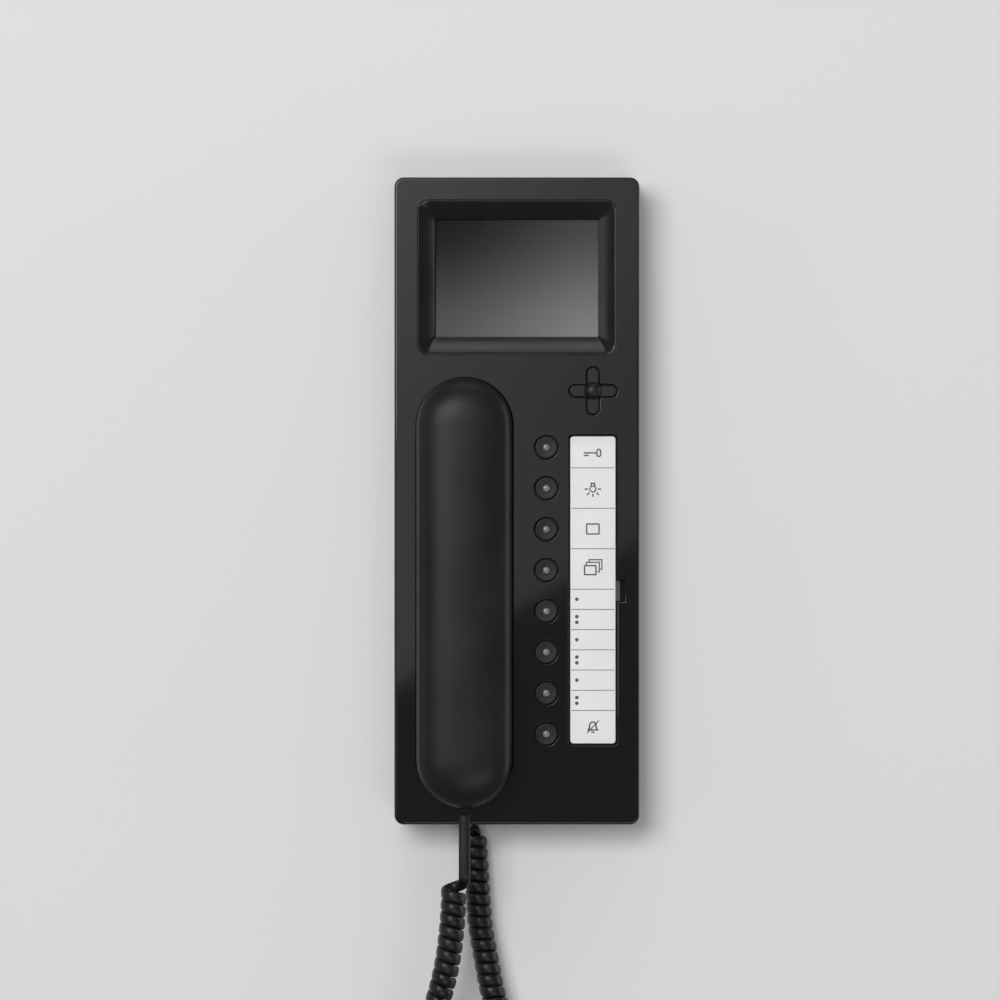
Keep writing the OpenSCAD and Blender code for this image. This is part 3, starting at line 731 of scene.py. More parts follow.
def softened(name, node, look, edge):
    """A finished copy of a CAD node: its loose triangles welded, its flats joined and its edges broken."""
    bm = bmesh.new()
    bm.from_mesh(frame["nodes"][node].data)
    bmesh.ops.remove_doubles(bm, verts=bm.verts, dist=1e-6)
    bmesh.ops.dissolve_limit(bm, angle_limit=math.radians(0.5), verts=bm.verts, edges=bm.edges)
    made = piece(name, bm, look, BODY_OF[node], [node], 30.0, recalculate=False, even=False)
    broken = made.modifiers.new("Broken edges", "BEVEL")
    broken.width, broken.segments, broken.limit_method = edge, 2, "ANGLE"
    broken.angle_limit = math.radians(40)
    broken.use_clamp_overlap = False
    made.modifiers.new("Even shading", "WEIGHTED_NORMAL").keep_sharp = True
    return made


def sizes():
    return bpy.context.scene.intercom_sizes


def colours():
    return bpy.context.scene.intercom_colours


# ---------- Camera and cord ----------

class INTERCOM_OT_camera(bpy.types.Operator):
    """Place the camera square on to the face, a long lens some way off"""

    bl_idname = "intercom.camera"
    bl_label = "Camera"

    def execute(self, context):
        data = bpy.data.cameras.new("Camera")
        data.lens, data.sensor_width, data.clip_start, data.clip_end = 135, 36, 0.01, 20
        made = bpy.data.objects.new("Camera", data)
        made.location, made.rotation_euler = CAMERA_PLACE, (math.pi / 2, 0, 0)
        context.scene.collection.objects.link(made)
        context.scene.camera = made
        context.scene.view_settings.view_transform = "Standard"
        return {"FINISHED"}


def smooth_line(route, spacing):
    """Points about that far apart on the smooth curve through a route in millimetres."""
    p = [Vector(point) * MM for point in route]
    fine = []
    for i in range(len(p) - 1):
        a, b, c, d = p[max(i - 1, 0)], p[i], p[i + 1], p[min(i + 2, len(p) - 1)]
        for k in range(40):
            t = k / 40
            fine.append(0.5 * (2 * b + (c - a) * t + (2 * a - 5 * b + 4 * c - d) * t * t
                               + (3 * b - a - 3 * c + d) * t ** 3))
    fine.append(p[-1])
    return even_line(fine, spacing)


def even_line(points, spacing):
    """The same line with its points evenly apart."""
    run = [0.0]
    for a, b in zip(points, points[1:]):
        run.append(run[-1] + (b - a).length)
    count = max(2, round(run[-1] / spacing))
    made, k = [], 0
    for i in range(count + 1):
        goal = run[-1] * i / count
        while k < len(run) - 2 and run[k + 1] < goal:
            k += 1
        made.append(points[k].lerp(points[k + 1], (goal - run[k]) / max(run[k + 1] - run[k], 1e-12)))
    return made


def ease(value, low, high):
    t = min(1.0, max(0.0, (value - low) / (high - low)))
    return t * t * (3 - 2 * t)


def cord_line(s):
    """The cord's middle line and the way its flat side faces, from the handset round to the housing."""
    spine = smooth_line(COIL_ROUTE[::-1], 0.0001)
    spacing = (spine[1] - spine[0]).length
    length = spacing * (len(spine) - 1)
    full = 2 * math.pi / s.coil_pitch
    heading = (spine[1] - spine[0]).normalized()
    side = Vector((1, 0, 0))
    side = (side - heading * side.dot(heading)).normalized()
    line, faces, turn = [], [], 0.0
    per_step = 2 * math.pi / s.turn_steps
    marked = -per_step
    for i, point in enumerate(spine):
        ahead = spine[min(i + 1, len(spine) - 1)] - spine[max(i - 1, 0)]
        heading = ahead.normalized()
        side = (side - heading * side.dot(heading)).normalized()
        back = heading.cross(side) * -1
        run = i * spacing
        left = length - run
        radius = s.coil_radius * ease(left, 0, TAPER)
        out = side * math.cos(turn) + back * math.sin(turn)
        if turn - marked >= per_step or (turn < 1.2 and i % 4 == 0) or (left < 0.004 and i % 4 == 0):
            line.append(point + out * radius)
            lean = ease(turn, 0.25, 1.7)
            faces.append((back * (1 - lean) + out * lean).normalized())
            marked = turn
        turn += full * spacing * ease(run, *WIND_IN) * ease(left, *WIND_OUT)
    top = even_line([Vector(p) * MM for p in HANDSET_LEAD], 0.0009)[:-1]
    foot = even_line([Vector(p) * MM for p in BASE_LEAD[::-1]], 0.0007)[1:]
    faces = [Vector((0, 1, 0))] * len(top) + faces + [Vector((0, 1, 0))] * len(foot)
    line = top + line + foot
    for _ in range(3):
        line = [line[0]] + [(a + b * 2 + c) / 4 for a, b, c in zip(line, line[1:], line[2:])] + [line[-1]]
    return line, faces


def cord_tube(line, faces, width, thickness):
    """A tube with a flat rounded section along a line, and a UV map that runs along it."""
    sides, power = 14, 2 / 2.5
    section = []
    for k in range(sides):
        a = 2 * math.pi * k / sides
        x, y = math.cos(a), math.sin(a)
        section.append((math.copysign(abs(x) ** power, x) * width / 2,
                        math.copysign(abs(y) ** power, y) * thickness / 2))
    bm = bmesh.new()
    rings, run, reach = [], 0.0, []
    for i, point in enumerate(line):
        heading = (line[min(i + 1, len(line) - 1)] - line[max(i - 1, 0)]).normalized()
        flat = faces[i] - heading * faces[i].dot(heading)
        flat.normalize()
        wide = heading.cross(flat)
        run += (point - line[max(i - 1, 0)]).length
        reach.append(run)
        rings.append([bm.verts.new(point + wide * a + flat * b) for a, b in section])
    uv = bm.loops.layers.uv.new("Along")
    for i, (ring, after) in enumerate(zip(rings, rings[1:])):
        for k in range(sides):
            j = (k + 1) % sides
            face = bm.faces.new((ring[k], after[k], after[j], ring[j]))
            for loop, (u, v) in zip(face.loops, ((k, i), (k, i + 1), (k + 1, i + 1), (k + 1, i))):
                loop[uv].uv = (u / sides, reach[v])
    bm.faces.new(rings[0])
    bm.faces.new(rings[-1][::-1])
    share = [1 - ease(r, 0.03, run - 0.02) for r in reach for _ in range(sides)]
    return bm, share, run


def plug(name, place, node, body, lead_w, lead_t):
    """A modular plug with its latch and a ribbed boot on the cord."""
    depth = (place.near + place.far) / 2
    boot = 3 * MM
    mouth = place.bottom + boot
    bm = bmesh.new()
    solid_box(bm, place.x, (mouth + place.top) / 2, place.w, place.top - mouth, place.near, place.far,
              0.4 * MM, 3)
    solid_box(bm, place.x, mouth + 4.2 * MM, 3 * MM, 7.5 * MM, place.near - 0.02 * MM, place.near + 1 * MM,
              0.3 * MM)
    ribs = ((0, 0), (0, 0.3), (-0.22, 0.45), (-0.22, 0.75), (0, 0.9), (0, 1.3), (-0.22, 1.45), (-0.22, 1.75),
            (0, 1.9), (-0.1, 2.3), (-0.35, 2.8), (-0.7, 3.0))
    loft(bm, [rectangle(bm, lead_w + (1.2 + 2 * grow) * MM, lead_t + (1.6 + 2 * grow) * MM, 1.2 * MM, depth,
                        place.x, mouth - along * MM, 6, under) for grow, along in ribs])
    return piece(name, bm, "plug_black", body, [node])


class INTERCOM_OT_cord(bpy.types.Operator):
    """Build the two plugs and the curly cord between them"""

    bl_idname = "intercom.cord"
    bl_label = "Curly cord"

    def execute(self, context):
        s = sizes()
        flat = (s.cord_width, s.cord_thickness)
        plugs = [plug("base_plug", BASE_PLUG, "cord_plug_base", "housing", *flat),
                 plug("handset_plug", HANDSET_PLUG, "cord_plug_handset", "handset", *flat)]
        line, faces = cord_line(s)
        bm, share, length = cord_tube(line, faces, *flat)
        made = finished_mesh("curly_cord", bm, "cord_black", 80.0)
        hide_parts("cord_coil", "cord_lead_handset", "cord_lead_base")
        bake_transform(made)
        return {"FINISHED"}


# ---------- Housing ----------

class INTERCOM_OT_housing(bpy.types.Operator):
    """Build the glossy housing with its openings, its cord outlet and its sound slots"""

    bl_idname = "intercom.housing"
    bl_label = "Housing"

    def execute(self, context):
        s = sizes()
        h = HOUSING
        bm = bmesh.new()
        face = rectangle(bm, h.w, h.h, s.corner, h.far - s.edge, steps=16)
        step_in(bm, face, over(s.edge, 7))
        open_up(bm, face)
        wall_back(bm, h.far - s.edge, h.far - s.edge - h.near)
        inner = rectangle(bm, h.w - 2 * s.wall, h.h - 2 * s.wall, s.corner - s.wall, h.near, steps=16)
        step_in(bm, inner, [(0, h.far - s.wall - h.near)])
        open_up(bm, inner)
        fill(bm, 1, -h.near)

        def free(gap, rim=s.rim):
            return 2 * (gap + rim)

        spare = free(s.bezel_gap, s.rim / 2)
        face = rectangle(bm, BEZEL.w + spare, BEZEL.h + spare, BEZEL_CORNER + spare / 2, h.far,
                         BEZEL.x, BEZEL.z)
        opening(bm, face, s.rim / 2, s.wall)
        spare = free(s.gap)
        face = stadium(bm, HANDSET.w + spare, HANDSET.h + spare, h.far, HANDSET.x, HANDSET.z, 32)
        opening(bm, face, s.rim, s.wall)
        for name in KEYS:
            key = Place(name)
            opening(bm, disc(bm, s.key + free(s.key_gap), h.far, key.x, key.z), s.rim, s.wall)
        spare = free(s.cross_gap)
        opening(bm, cross(bm, s.cross + spare, s.arm + spare, h.far, NAV.x, NAV.z), s.rim, s.wall)
        opening(bm, self.label_hole(bm, s), s.rim, s.wall)
        fill(bm, 1, -h.far)
        fill(bm, 1, s.wall - h.far)
        self.foot(bm, s)
        made = piece("housing_shell", bm, "gloss_black", "housing", ["front_housing"], even=False)
        press_flat(made, [Vector(way) for way in ((0, -1, 0), (1, 0, 0), (-1, 0, 0), (0, 0, 1), (0, 0, -1))])
        return {"FINISHED"}

    def label_hole(self, bm, s):
        """The label's opening with the fingernail notch at its right."""
        spare = 2 * (s.label_gap + s.rim)
        w, l = SHEET.w + spare, SHEET.h + spare
        notch = 9.2 * MM + 2 * s.rim
        notch_x = COVER.right + 2.2 * MM + s.rim
        made = patch(bm, at(SHEET.x, HOUSING.far, SHEET.z), w, l, 3)
        rows = sorted({round(v.co.z, 7) for v in made})
        for v in made:
            if abs(v.co.z - rows[1]) < 1e-6:
                v.co.z = COVER_TAB_Z - notch / 2
            elif abs(v.co.z - rows[2]) < 1e-6:
                v.co.z = COVER_TAB_Z + notch / 2
        right = max(v.co.x for v in made)
        edge = next(e for v in made for e in v.link_edges if all(
            abs(p.co.x - right) < 1e-6 and abs(p.co.z - COVER_TAB_Z) < notch * 0.51 for p in e.verts))
        out = points_of(bmesh.ops.extrude_edge_only(bm, edges=[edge]))
        bmesh.ops.translate(bm, vec=(notch_x - right, 0, 0), verts=out)
        faces = {f for v in made + out for f in v.link_faces}
        face = bmesh.ops.dissolve_faces(bm, faces=list(faces))["region"][0]
        tips = [v for v in face.verts if abs(abs(v.co.z - SHEET.z) - l / 2) < 1e-6]
        return rounded(bm, face, tips, 1.8 * MM + s.rim, 8)

    def foot(self, bm, s):
        """Cuts the cord outlet and the ringer's slots through the bottom wall."""
        planes = (HOUSING.bottom, HOUSING.bottom + s.wall)
        for height in planes:
            take_out(bm, 2, height)
        slot_pitch = 3.6
        holes = [(BASE_PLUG.x, 8, 14, 11, 2)]
        holes += [(RINGER.x + k * slot_pitch * MM, 12.5, 1.6, 11, 0.78) for k in range(-3, 4)]
        for x, depth, w, h, radius in holes:
            face = rectangle(bm, w * MM, h * MM, radius * MM, depth * MM, x, HOUSING.bottom, 5, under)
            open_up(bm, step_in(bm, face, [(0, -s.wall)]))
        for height in planes:
            fill(bm, 2, height)


class INTERCOM_OT_screen(bpy.types.Operator):
    """Build the sloped screen frame and its clear window"""

    bl_idname = "intercom.screen"
    bl_label = "Screen"

    def execute(self, context):
        lip, rim, start = 0.45 * MM, 0.2 * MM, BEZEL.far - 0.02 * MM
        steps = [(0.0, BEZEL.near), (0.0, BEZEL.far - rim)]
        steps += [(rim * (1 - math.cos(a)), BEZEL.far - rim + rim * math.sin(a))
                  for a in (math.pi / 8 * k for k in range(1, 5))]
        steps.append((lip, start))
        rings = [(BEZEL.w - 2 * inset, BEZEL.h - 2 * inset, BEZEL_CORNER - inset, depth)
                 for inset, depth in steps]
        for t in (k / 12 for k in range(1, 13)):
            rings.append((BEZEL.w - 2 * lip + (VIEW_W - BEZEL.w + 2 * lip) * t,
                          BEZEL.h - 2 * lip + (VIEW_H - BEZEL.h + 2 * lip) * t,
                          (BEZEL_CORNER - lip) * (1 - t) + 1 * MM * t,
                          start - (start - VIEW_DEPTH) * (0.78 * t + 0.22 * t * t)))
        for inset, depth in ((0.12, VIEW_DEPTH - 0.06 * MM), (0.16, VIEW_DEPTH - 0.25 * MM),
                             (0.16, BEZEL.near)):
            rings.append((VIEW_W - 2 * inset * MM, VIEW_H - 2 * inset * MM, (1 - inset) * MM, depth))
        bm = bmesh.new()
        loft(bm, [rectangle(bm, *ring, BEZEL.x, BEZEL.z) for ring in rings], closed=True)
        piece("screen_frame", bm, "bezel_black", "housing", ["screen_bezel"], 40.0)

        bm = bmesh.new()
        solid(bm, rectangle(bm, WINDOW.w, WINDOW.h, 1 * MM, WINDOW.far, WINDOW.x, WINDOW.z, 6), WINDOW)
        piece("window", bm, "clear_window", "housing", ["screen_window"])
        return {"FINISHED"}


# ---------- Handset ----------

class INTERCOM_OT_handset(bpy.types.Operator):
    """Build the handset's crowned front shell and its hollowed rear shell"""

    bl_idname = "intercom.handset"
    bl_label = "Handset"

    def execute(self, context):
        s = sizes()
        half, top, split = HANDSET.w / 2, HANDSET.far, s.handset_split
        shoulder, shell, seam = top - 9 * MM, 2 * MM, 0.35 * MM
        line = [(half - shell, split), (half - seam, split)]
        line += [(half - seam * (1 - math.sin(a)), split + seam * (1 - math.cos(a)))
                 for a in (math.pi / 8, math.pi / 4, 3 * math.pi / 8)] + [(half, split + seam)]
        bm = bmesh.new()
        self.sweep(bm, line + self.crown(half, shoulder, top, 26))
        self.sweep(bm, [(half - shell, split)] + self.crown(half - shell, shoulder, top - shell, 10))
        piece("handset_crown", bm, "satin_black", "handset", ["handset_front"], 40.0)
        softened("handset_cups", "handset_back", "satin_black", 0.2 * MM)
        return {"FINISHED"}

    def crown(self, reach, shoulder, top, steps):
        """A quarter of a squared oval, from the side up to the middle of the crown."""
        power = 2 / 2.3
        return [(reach * math.cos(a) ** power, shoulder + (top - shoulder) * math.sin(a) ** power)
                for a in (math.pi / 2 * (i / steps) for i in range(steps + 1))]

    def sweep(self, bm, line):
        """Sweeps a half section round the handset's outline: a turn, a run down, a turn and a run up."""
        straight = HANDSET.h - HANDSET.w
        start = len(bm.verts)
        points = [bm.verts.new((HANDSET.x + r, -d, HANDSET.z + straight / 2)) for r, d in line]
        edges = [bm.edges.new(pair) for pair in zip(points, points[1:])]
        last = points + edges
        for end in (1, -1):
            cent = (HANDSET.x, 0, HANDSET.z + end * straight / 2)
            last = bmesh.ops.spin(bm, geom=last, cent=cent, axis=(0, -1, 0), angle=math.pi, steps=32)
            strip = [g for g in last["geom_last"] if isinstance(g, bmesh.types.BMEdge)]
            made = bmesh.ops.extrude_edge_only(bm, edges=strip)
            run = points_of(made)
            bmesh.ops.translate(bm, vec=(0, 0, -end * straight), verts=run)
            last = [g for g in made["geom"] if g in run
                    or isinstance(g, bmesh.types.BMEdge) and all(v in run for v in g.verts)]
        bm.verts.ensure_lookup_table()
        bmesh.ops.remove_doubles(bm, verts=bm.verts[start:], dist=WELD)


# ---------- Keys, pad and label ----------

class INTERCOM_OT_keys(bpy.types.Operator):
    """Build the round keys, each with its light guide"""

    bl_idname = "intercom.keys"
    bl_label = "Keys"

    def execute(self, context):
        s = sizes()
        for name in KEYS:
            lens_node = name.replace("key_", "key_lens_")
            place, lens = Place(name), Place(lens_node)
            r, hole, edge, bevel = s.key / 2, s.lens / 2 + 0.03 * MM, 0.3 * MM, 0.15 * MM
            top, back, flange = place.far, place.near, place.w / 2
            shelf = back + 0.8 * MM
            line = [(hole, back), (hole, top - s.key_dish - bevel)]
            line += [(hole + bevel + (r - 2 * edge - hole - bevel) * t, top - s.key_dish * (1 - t * t))
                     for t in (0, 0.2, 0.4, 0.6, 0.8)]
            line += arc(r - edge, top - edge, 100, 0, edge, 5)
            line += [(r, shelf), (flange, shelf), (flange, back), (hole, back)]
            bm = bmesh.new()
            spun(bm, line, place.x, place.z, 64)
            piece(f"cap_{name[4:]}", bm, "key_black", BODY_OF[name], [name])
            bm = bmesh.new()
            dome, rise = s.lens / 2, 0.55 * MM
            line = [(0, lens.near), (dome, lens.near), (dome, lens.far - rise)]
            line += domed(dome, lens.far - rise, lens.far, 8)
            spun(bm, line, lens.x, lens.z, 32)
            piece(f"light_guide_{name[4:]}", bm, "lens_grey", BODY_OF[name], [lens_node])
        return {"FINISHED"}


class INTERCOM_OT_pad(bpy.types.Operator):
    """Build the navigation cross and the dome in its middle"""

    bl_idname = "intercom.pad"
    bl_label = "Navigation pad"

    def execute(self, context):
        s = sizes()
        face_at, seat, flange = NAV.far, NAV.far - 1 * MM, NAV.near + 0.7 * MM
        edge, lip, bore, web = 0.45 * MM, 0.1 * MM, 1.2 * MM, 1.8 * MM
        bm = bmesh.new()
        face = cross(bm, s.cross, s.arm, face_at - edge, NAV.x, NAV.z)
        step_in(bm, face, over(edge, 5))
        open_up(bm, face)
        wall_back(bm, face_at - edge, face_at - edge - flange)
        well = disc(bm, DOME.w + 0.9 * MM, face_at, NAV.x, NAV.z)
        step_in(bm, well, [(lip, -lip), (0, seat - face_at + lip), (DOME.w / 2 + 0.35 * MM - bore, 0),
                           (0, -web)])
        open_up(bm, well)
        open_up(bm, step_in(bm, disc(bm, NAV.w, NAV.near, NAV.x, NAV.z), [(0, flange - NAV.near)]))
        hollow = disc(bm, 4.8 * MM, NAV.near, NAV.x, NAV.z)
        low = seat - web
        step_in(bm, hollow, [(0, low - NAV.near), (bore, 0)])
        open_up(bm, hollow)
        seam = {v for e in border(bm, 1, -low) for v in e.verts}
        bmesh.ops.remove_doubles(bm, verts=list(seam), dist=5 * WELD)
        for depth in (face_at, flange, NAV.near):
            fill(bm, 1, -depth)
        made = piece("direction_cross", bm, "key_black", "nav_pad", ["nav_cross"], even=False)
        press_flat(made, [Vector((0, -1, 0))])

        r, stem, edge = DOME.w / 2, 1 * MM, 0.15 * MM
        ledge, foot = seat + 0.7 * MM, DOME.far - 1.85 * MM
        line = [(0, DOME.near), (stem, DOME.near), (stem, ledge), (r - edge, ledge), (r, ledge + edge),
                (r, foot)]
        line += domed(r, foot, DOME.far, 14)
        bm = bmesh.new()
        spun(bm, line, DOME.x, DOME.z, 64)
        piece("centre_dome", bm, "key_black", "nav_centre", ["nav_dome"], 60.0)
        return {"FINISHED"}


class INTERCOM_OT_label(bpy.types.Operator):
    """Build the paper label with its printed symbols, and the clear cover over it"""

    bl_idname = "intercom.label"
    bl_label = "Label"

    def execute(self, context):
        bm = bmesh.new()
        solid(bm, rectangle(bm, SHEET.w, SHEET.h, 1.3 * MM, SHEET.far, SHEET.x, SHEET.z, 6), SHEET)
        piece("paper_strip", bm, "paper", "housing", ["label_sheet"])
        self.cover()
        self.symbols()
        return {"FINISHED"}

    def cover(self):
        """The clear cover: a plate with a rounded front edge, and its finger tab."""
        bm = bmesh.new()
        w, l = SHEET.w + 0.4 * MM, SHEET.h + 0.4 * MM
        edge = 0.3 * MM
        step_in(bm, rectangle(bm, w, l, 1.5 * MM, COVER.far - edge, SHEET.x, SHEET.z, 8), over(edge, 4))
        wall_back(bm, COVER.far - edge, COVER.far - edge - COVER.near)
        fill(bm, 1, -COVER.near)
        right, overlap = SHEET.x + w / 2, 0.4 * MM
        solid_box(bm, (right + COVER.right - overlap) / 2, COVER_TAB_Z, COVER.right - right + overlap,
                  COVER_TAB_H, COVER.near, COVER.far, edge, 3)
        piece("label_window", bm, "label_clear", "label_clip", ["label_cover"])

    def symbols(self):
        """Dividers, dots and small pictures, printed on the strip."""
        top = SHEET.z + SHEET.h / 2 + 0.2 * MM
        big, small, first = 17.0 * MM, 8.5 * MM, 13.4 * MM
        rows = [first + big * k for k in range(4)]
        rows += [rows[-1] + small * k for k in range(1, 7)]
        bm = bmesh.new()
        for row in rows:
            patch(bm, at(SHEET.x, SHEET.far, top - row), SHEET.w - 0.7 * MM, 0.34 * MM)
        self.print_on(bm, "label_lines", "ink_pale")
        bm = bmesh.new()
        dot, dot_x, apart = 1.55 * MM, SHEET.x - 6.75 * MM, 1.2 * MM
        for k in range(6):
            row = top - rows[3] - small * (k + 0.5)
            for z in ((row,) if k % 2 == 0 else (row + apart, row - apart)):
                disc(bm, dot, SHEET.far, dot_x, z, 20)
        self.key_sign(bm, top - 7.1 * MM)
        self.lamp_sign(bm, top - 22.1 * MM)
        self.outline(bm, 0, top - 39.1 * MM, 5.8, 4.8, 0.5)
        self.outline(bm, -1.1, top - 56.4 * MM, 5.4, 4.4, 0.5)
        for shift in (1.1, 2.2):
            left, right, high, low = shift - 3.8, shift + 1.6, shift + 1.5, shift - 2.5
            for a, b in (((left, high - 0.8), (left, high)), ((left, high), (right, high)),
                         ((right, high), (right, low)), ((right, low), (right - 0.5, low))):
                self.stroke(bm, a, b, top - 55.7 * MM, 0.5)
        self.bell_sign(bm, top - 122.2 * MM)
        self.print_on(bm, "label_signs", "ink")

    def print_on(self, bm, name, look):
        """Gives flat signs the thickness of a layer of ink."""
        lifted = bmesh.ops.extrude_face_region(bm, geom=bm.faces[:])
        bmesh.ops.translate(bm, vec=(0, -0.02 * MM, 0), verts=points_of(lifted))
        piece(name, bm, look, "housing", even=False)

    def outline(self, bm, x, z, w, h, radius):
        """An unfilled rounded frame, in millimetres from the label's middle line."""
        face = rectangle(bm, w * MM, h * MM, radius * MM, SHEET.far, SHEET.x + x * MM, z, 5)
        open_up(bm, step_in(bm, face, [(PEN * MM, 0)]))

    def stroke(self, bm, a, b, z, line=PEN):
        """A straight line with square ends between two points, in millimetres."""
        a, b = Vector(a) * MM, Vector(b) * MM
        middle, run = (a + b) / 2, b - a
        turn = Matrix.Rotation(math.atan2(run.y, run.x), 4, "Z")
        patch(bm, at(SHEET.x + middle.x, SHEET.far, z + middle.y) @ turn, run.length + line * MM, line * MM)

    def key_sign(self, bm, z):
        self.stroke(bm, (-3.5, 0), (1.2, 0), z)
        self.stroke(bm, (-3.5, -1.05), (-2.0, -1.05), z)
        self.outline(bm, 2.5, z, 2.2, 3.5, 1.0)

    def lamp_sign(self, bm, z):
        """A hanging lamp with rays below it."""
        face = disc(bm, 3.0 * MM, SHEET.far, SHEET.x, z - 0.2 * MM, 24)
        open_up(bm, step_in(bm, face, [(0.5 * MM, 0)]))
        for side in (-1, 1):
            self.stroke(bm, (side * 0.65, 2.1), (side * 0.75, 1.3), z)
            self.stroke(bm, (side * 2.3, -0.2), (side * 3.2, -0.2), z)
            self.stroke(bm, (side * 1.7, -1.9), (side * 2.3, -2.5), z)
        self.stroke(bm, (-0.65, 2.2), (0.65, 2.2), z)
        self.stroke(bm, (0, -2.4), (0, -3.2), z)

    def bell_sign(self, bm, z):
        """A bell with a line struck through it."""
        self.stroke(bm, (-2.0, -1.4), (2.0, -1.4), z)
        for side in (-1, 1):
            self.stroke(bm, (side * 1.9, -1.3), (side * 1.4, -0.4), z)
            self.stroke(bm, (side * 1.4, -0.4), (side * 1.3, 1.0), z)
            self.stroke(bm, (side * 1.3, 1.0), (side * 0.6, 1.8), z)
        self.stroke(bm, (-0.6, 1.9), (0.6, 1.9), z)
        self.stroke(bm, (-0.4, -2.3), (0.4, -2.3), z)
        self.stroke(bm, (-2.3, -2.6), (2.4, 2.5), z, 0.45)


# ---------- The rest of the frame ----------

class INTERCOM_OT_insides(bpy.types.Operator):
    """Finish the wall plate, the cradle, the sockets and the boards"""

    bl_idname = "intercom.insides"
    bl_label = "Insides"

    def execute(self, context):
        copies = {"wall_plate": ("rear_plate", "plate_grey", 0.25),
                  "handset_cradle": ("cradle", "inner_black", 0.25),
                  "cord_socket": ("foot_socket", "plate_grey", 0.2),
                  "handset_socket": ("jack_socket", "plate_grey", 0.2),
                  "terminal_block": ("terminals", "terminal_green", 0.15)}
        for node, (name, look, edge) in copies.items():
            softened(name, node, look, edge * MM)
        for node, made in frame["nodes"].items():
            if not made.hide_render:
                # The label tray takes the near-black look instead of its own slot: painted shade in the gap
                # round the label.
                look = "inner_black" if node == "label_tray" else SLOT_OF[node]
                made.data.materials.clear()
                made.data.materials.append(finish(look))
        return {"FINISHED"}


# ---------- Stage ----------

# Each lamp's name, place, width, height and power in watts.
LAMPS = (
    ("Key", (-0.83, -2.5, 0.6), 1.2, 1.06, 37),
    ("Fill", (-0.35, -2.5, 1.0), 0.9, 0.7, 8),
    ("Low", (0.5, -2.2, -1.0), 1.4, 0.6, 7.5),
    ("Top", (0.1, -0.9, 2.0), 1.4, 0.5, 5),
    ("Right strip", (1.5, -0.15, 0.1), 0.3, 1.6, 7),
    ("Left strip", (-1.5, -0.5, 0.1), 0.3, 1.6, 2.2),
    ("Behind", (0.9, 1.8, 0.9), 1.6, 1.6, 40),
    ("Behind left", (-1.2, 1.6, -0.3), 1.4, 1.4, 22),
)


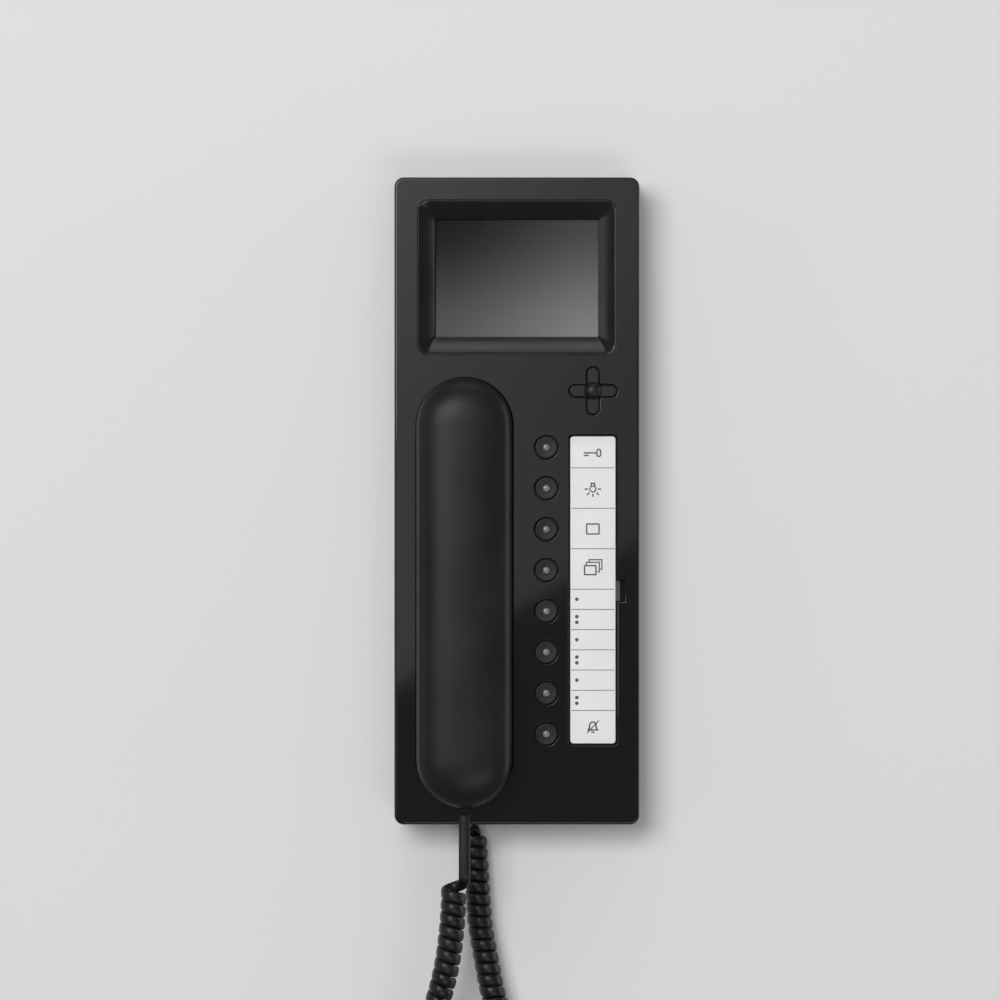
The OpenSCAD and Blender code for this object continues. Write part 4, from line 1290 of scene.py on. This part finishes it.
class INTERCOM_OT_stage(bpy.types.Operator):
    """Set up the pale wall, the soft lights and the card that the gloss reflects"""

    bl_idname = "intercom.stage"
    bl_label = "Wall and lights"

    def execute(self, context):
        self.wall()
        self.card()
        self.sky(context.scene)
        for lamp in LAMPS:
            self.light(*lamp)
        return {"FINISHED"}

    def wall(self):
        f = Finish("wall_paint")
        grain = f.noise(0.0016, 4)
        paint = f.node("ShaderNodeBsdfPrincipled", {}, {
            "Base Color": (*colours().wall, 1), "Roughness": 0.85, "Specular IOR Level": 0.2,
            "Normal": f.bump(grain, 0.00002)})
        behind = f.node("ShaderNodeNewGeometry", output="Backfacing")
        clear = f.node("ShaderNodeBsdfTransparent")
        f.node("ShaderNodeOutputMaterial", {}, {
            "Surface": f.node("ShaderNodeMixShader", {}, {0: behind, 1: paint, 2: clear})})
        bm = bmesh.new()
        patch(bm, at(0, -0.4 * MM, 0), 4, 4)
        self.sheet("wall", bm, f.material).visible_shadow = False

    def card(self):
        """A glowing card behind the camera, seen only in the gloss: cut off below along a slant."""
        f = Finish("card_glow")
        glow = f.step(f.axis(2), 0.05, 0.42, 0.77, 1.15) * f.step(f.axis(0), -0.16, 0.16, 1.22, 0.80)
        shine = f.node("ShaderNodeEmission", {}, {"Color": (1, 1, 1, 1), "Strength": glow})
        f.node("ShaderNodeOutputMaterial", {}, {"Surface": shine})
        bm = bmesh.new()
        edge = [(-1.5, -1.04), (-0.5, -0.43), (-0.112, -0.199), (0.0205, -0.1157), (0.139, -0.0494),
                (0.5, 0.12), (1.5, 0.5), (1.5, 0.9), (-1.5, 0.9)]
        bm.faces.new([bm.verts.new((x, -2.6, z)) for x, z in edge])
        made = self.sheet("card", bm, f.material)
        made.visible_camera = made.visible_diffuse = made.visible_shadow = made.visible_transmission = False

    def sheet(self, name, bm, material):
        """A piece of the stage, which is no part of the intercom."""
        mesh = bpy.data.meshes.new(name)
        bm.to_mesh(mesh)
        bm.free()
        mesh.materials.append(material)
        made = bpy.data.objects.new(name, mesh)
        bpy.context.scene.collection.objects.link(made)
        return made

    def light(self, name, place, w, h, power):
        """A soft lamp that aims at the middle of the housing."""
        data = bpy.data.lights.new(name, "AREA")
        data.shape, data.size, data.size_y, data.energy = "RECTANGLE", w, h, power
        made = bpy.data.objects.new(name, data)
        made.location = place
        made.rotation_euler = (-Vector(place)).to_track_quat("-Z", "Y").to_euler()
        made.visible_camera = False
        bpy.context.scene.collection.objects.link(made)

    def sky(self, scene):
        world = bpy.data.worlds.new("Studio")
        world.use_nodes = True
        nodes, links = world.node_tree.nodes, world.node_tree.links
        ground = nodes["Background"]
        path = nodes.new("ShaderNodeLightPath")
        mix = nodes.new("ShaderNodeMix")
        mix.data_type = "RGBA"
        mix.inputs[6].default_value = (0.2, 0.2, 0.205, 1)
        mix.inputs[7].default_value = (0.72, 0.725, 0.735, 1)
        links.new(path.outputs["Is Camera Ray"], mix.inputs[0])
        links.new(mix.outputs[2], ground.inputs["Color"])
        scene.world = world


class INTERCOM_PT_panel(bpy.types.Panel):
    """Lists the steps that build the intercom's surfaces"""

    bl_idname = "INTERCOM_PT_panel"
    bl_label = "Door intercom"
    bl_space_type = "VIEW_3D"
    bl_region_type = "UI"
    bl_category = "Intercom"

    def draw(self, context):
        for group in (context.scene.intercom_sizes, context.scene.intercom_colours):
            box = self.layout.box()
            for name in group.__annotations__:
                box.prop(group, name)
        for step in STEPS:
            self.layout.operator(step.bl_idname)


STEPS = (INTERCOM_OT_camera, INTERCOM_OT_cord, INTERCOM_OT_housing, INTERCOM_OT_screen,
         INTERCOM_OT_handset, INTERCOM_OT_keys, INTERCOM_OT_pad, INTERCOM_OT_label, INTERCOM_OT_insides,
         INTERCOM_OT_stage)
CLASSES = (IntercomSizes, IntercomColours, *STEPS, INTERCOM_PT_panel)


def register():
    for made in CLASSES:
        bpy.utils.register_class(made)
    bpy.types.Scene.intercom_sizes = PointerProperty(type=IntercomSizes)
    bpy.types.Scene.intercom_colours = PointerProperty(type=IntercomColours)


def unregister():
    del bpy.types.Scene.intercom_colours
    del bpy.types.Scene.intercom_sizes
    for made in reversed(CLASSES):
        bpy.utils.unregister_class(made)


def main():
    register()
    for step in STEPS:
        group, name = step.bl_idname.split(".")
        getattr(getattr(bpy.ops, group), name)()


if __name__ == "__main__":
    main()
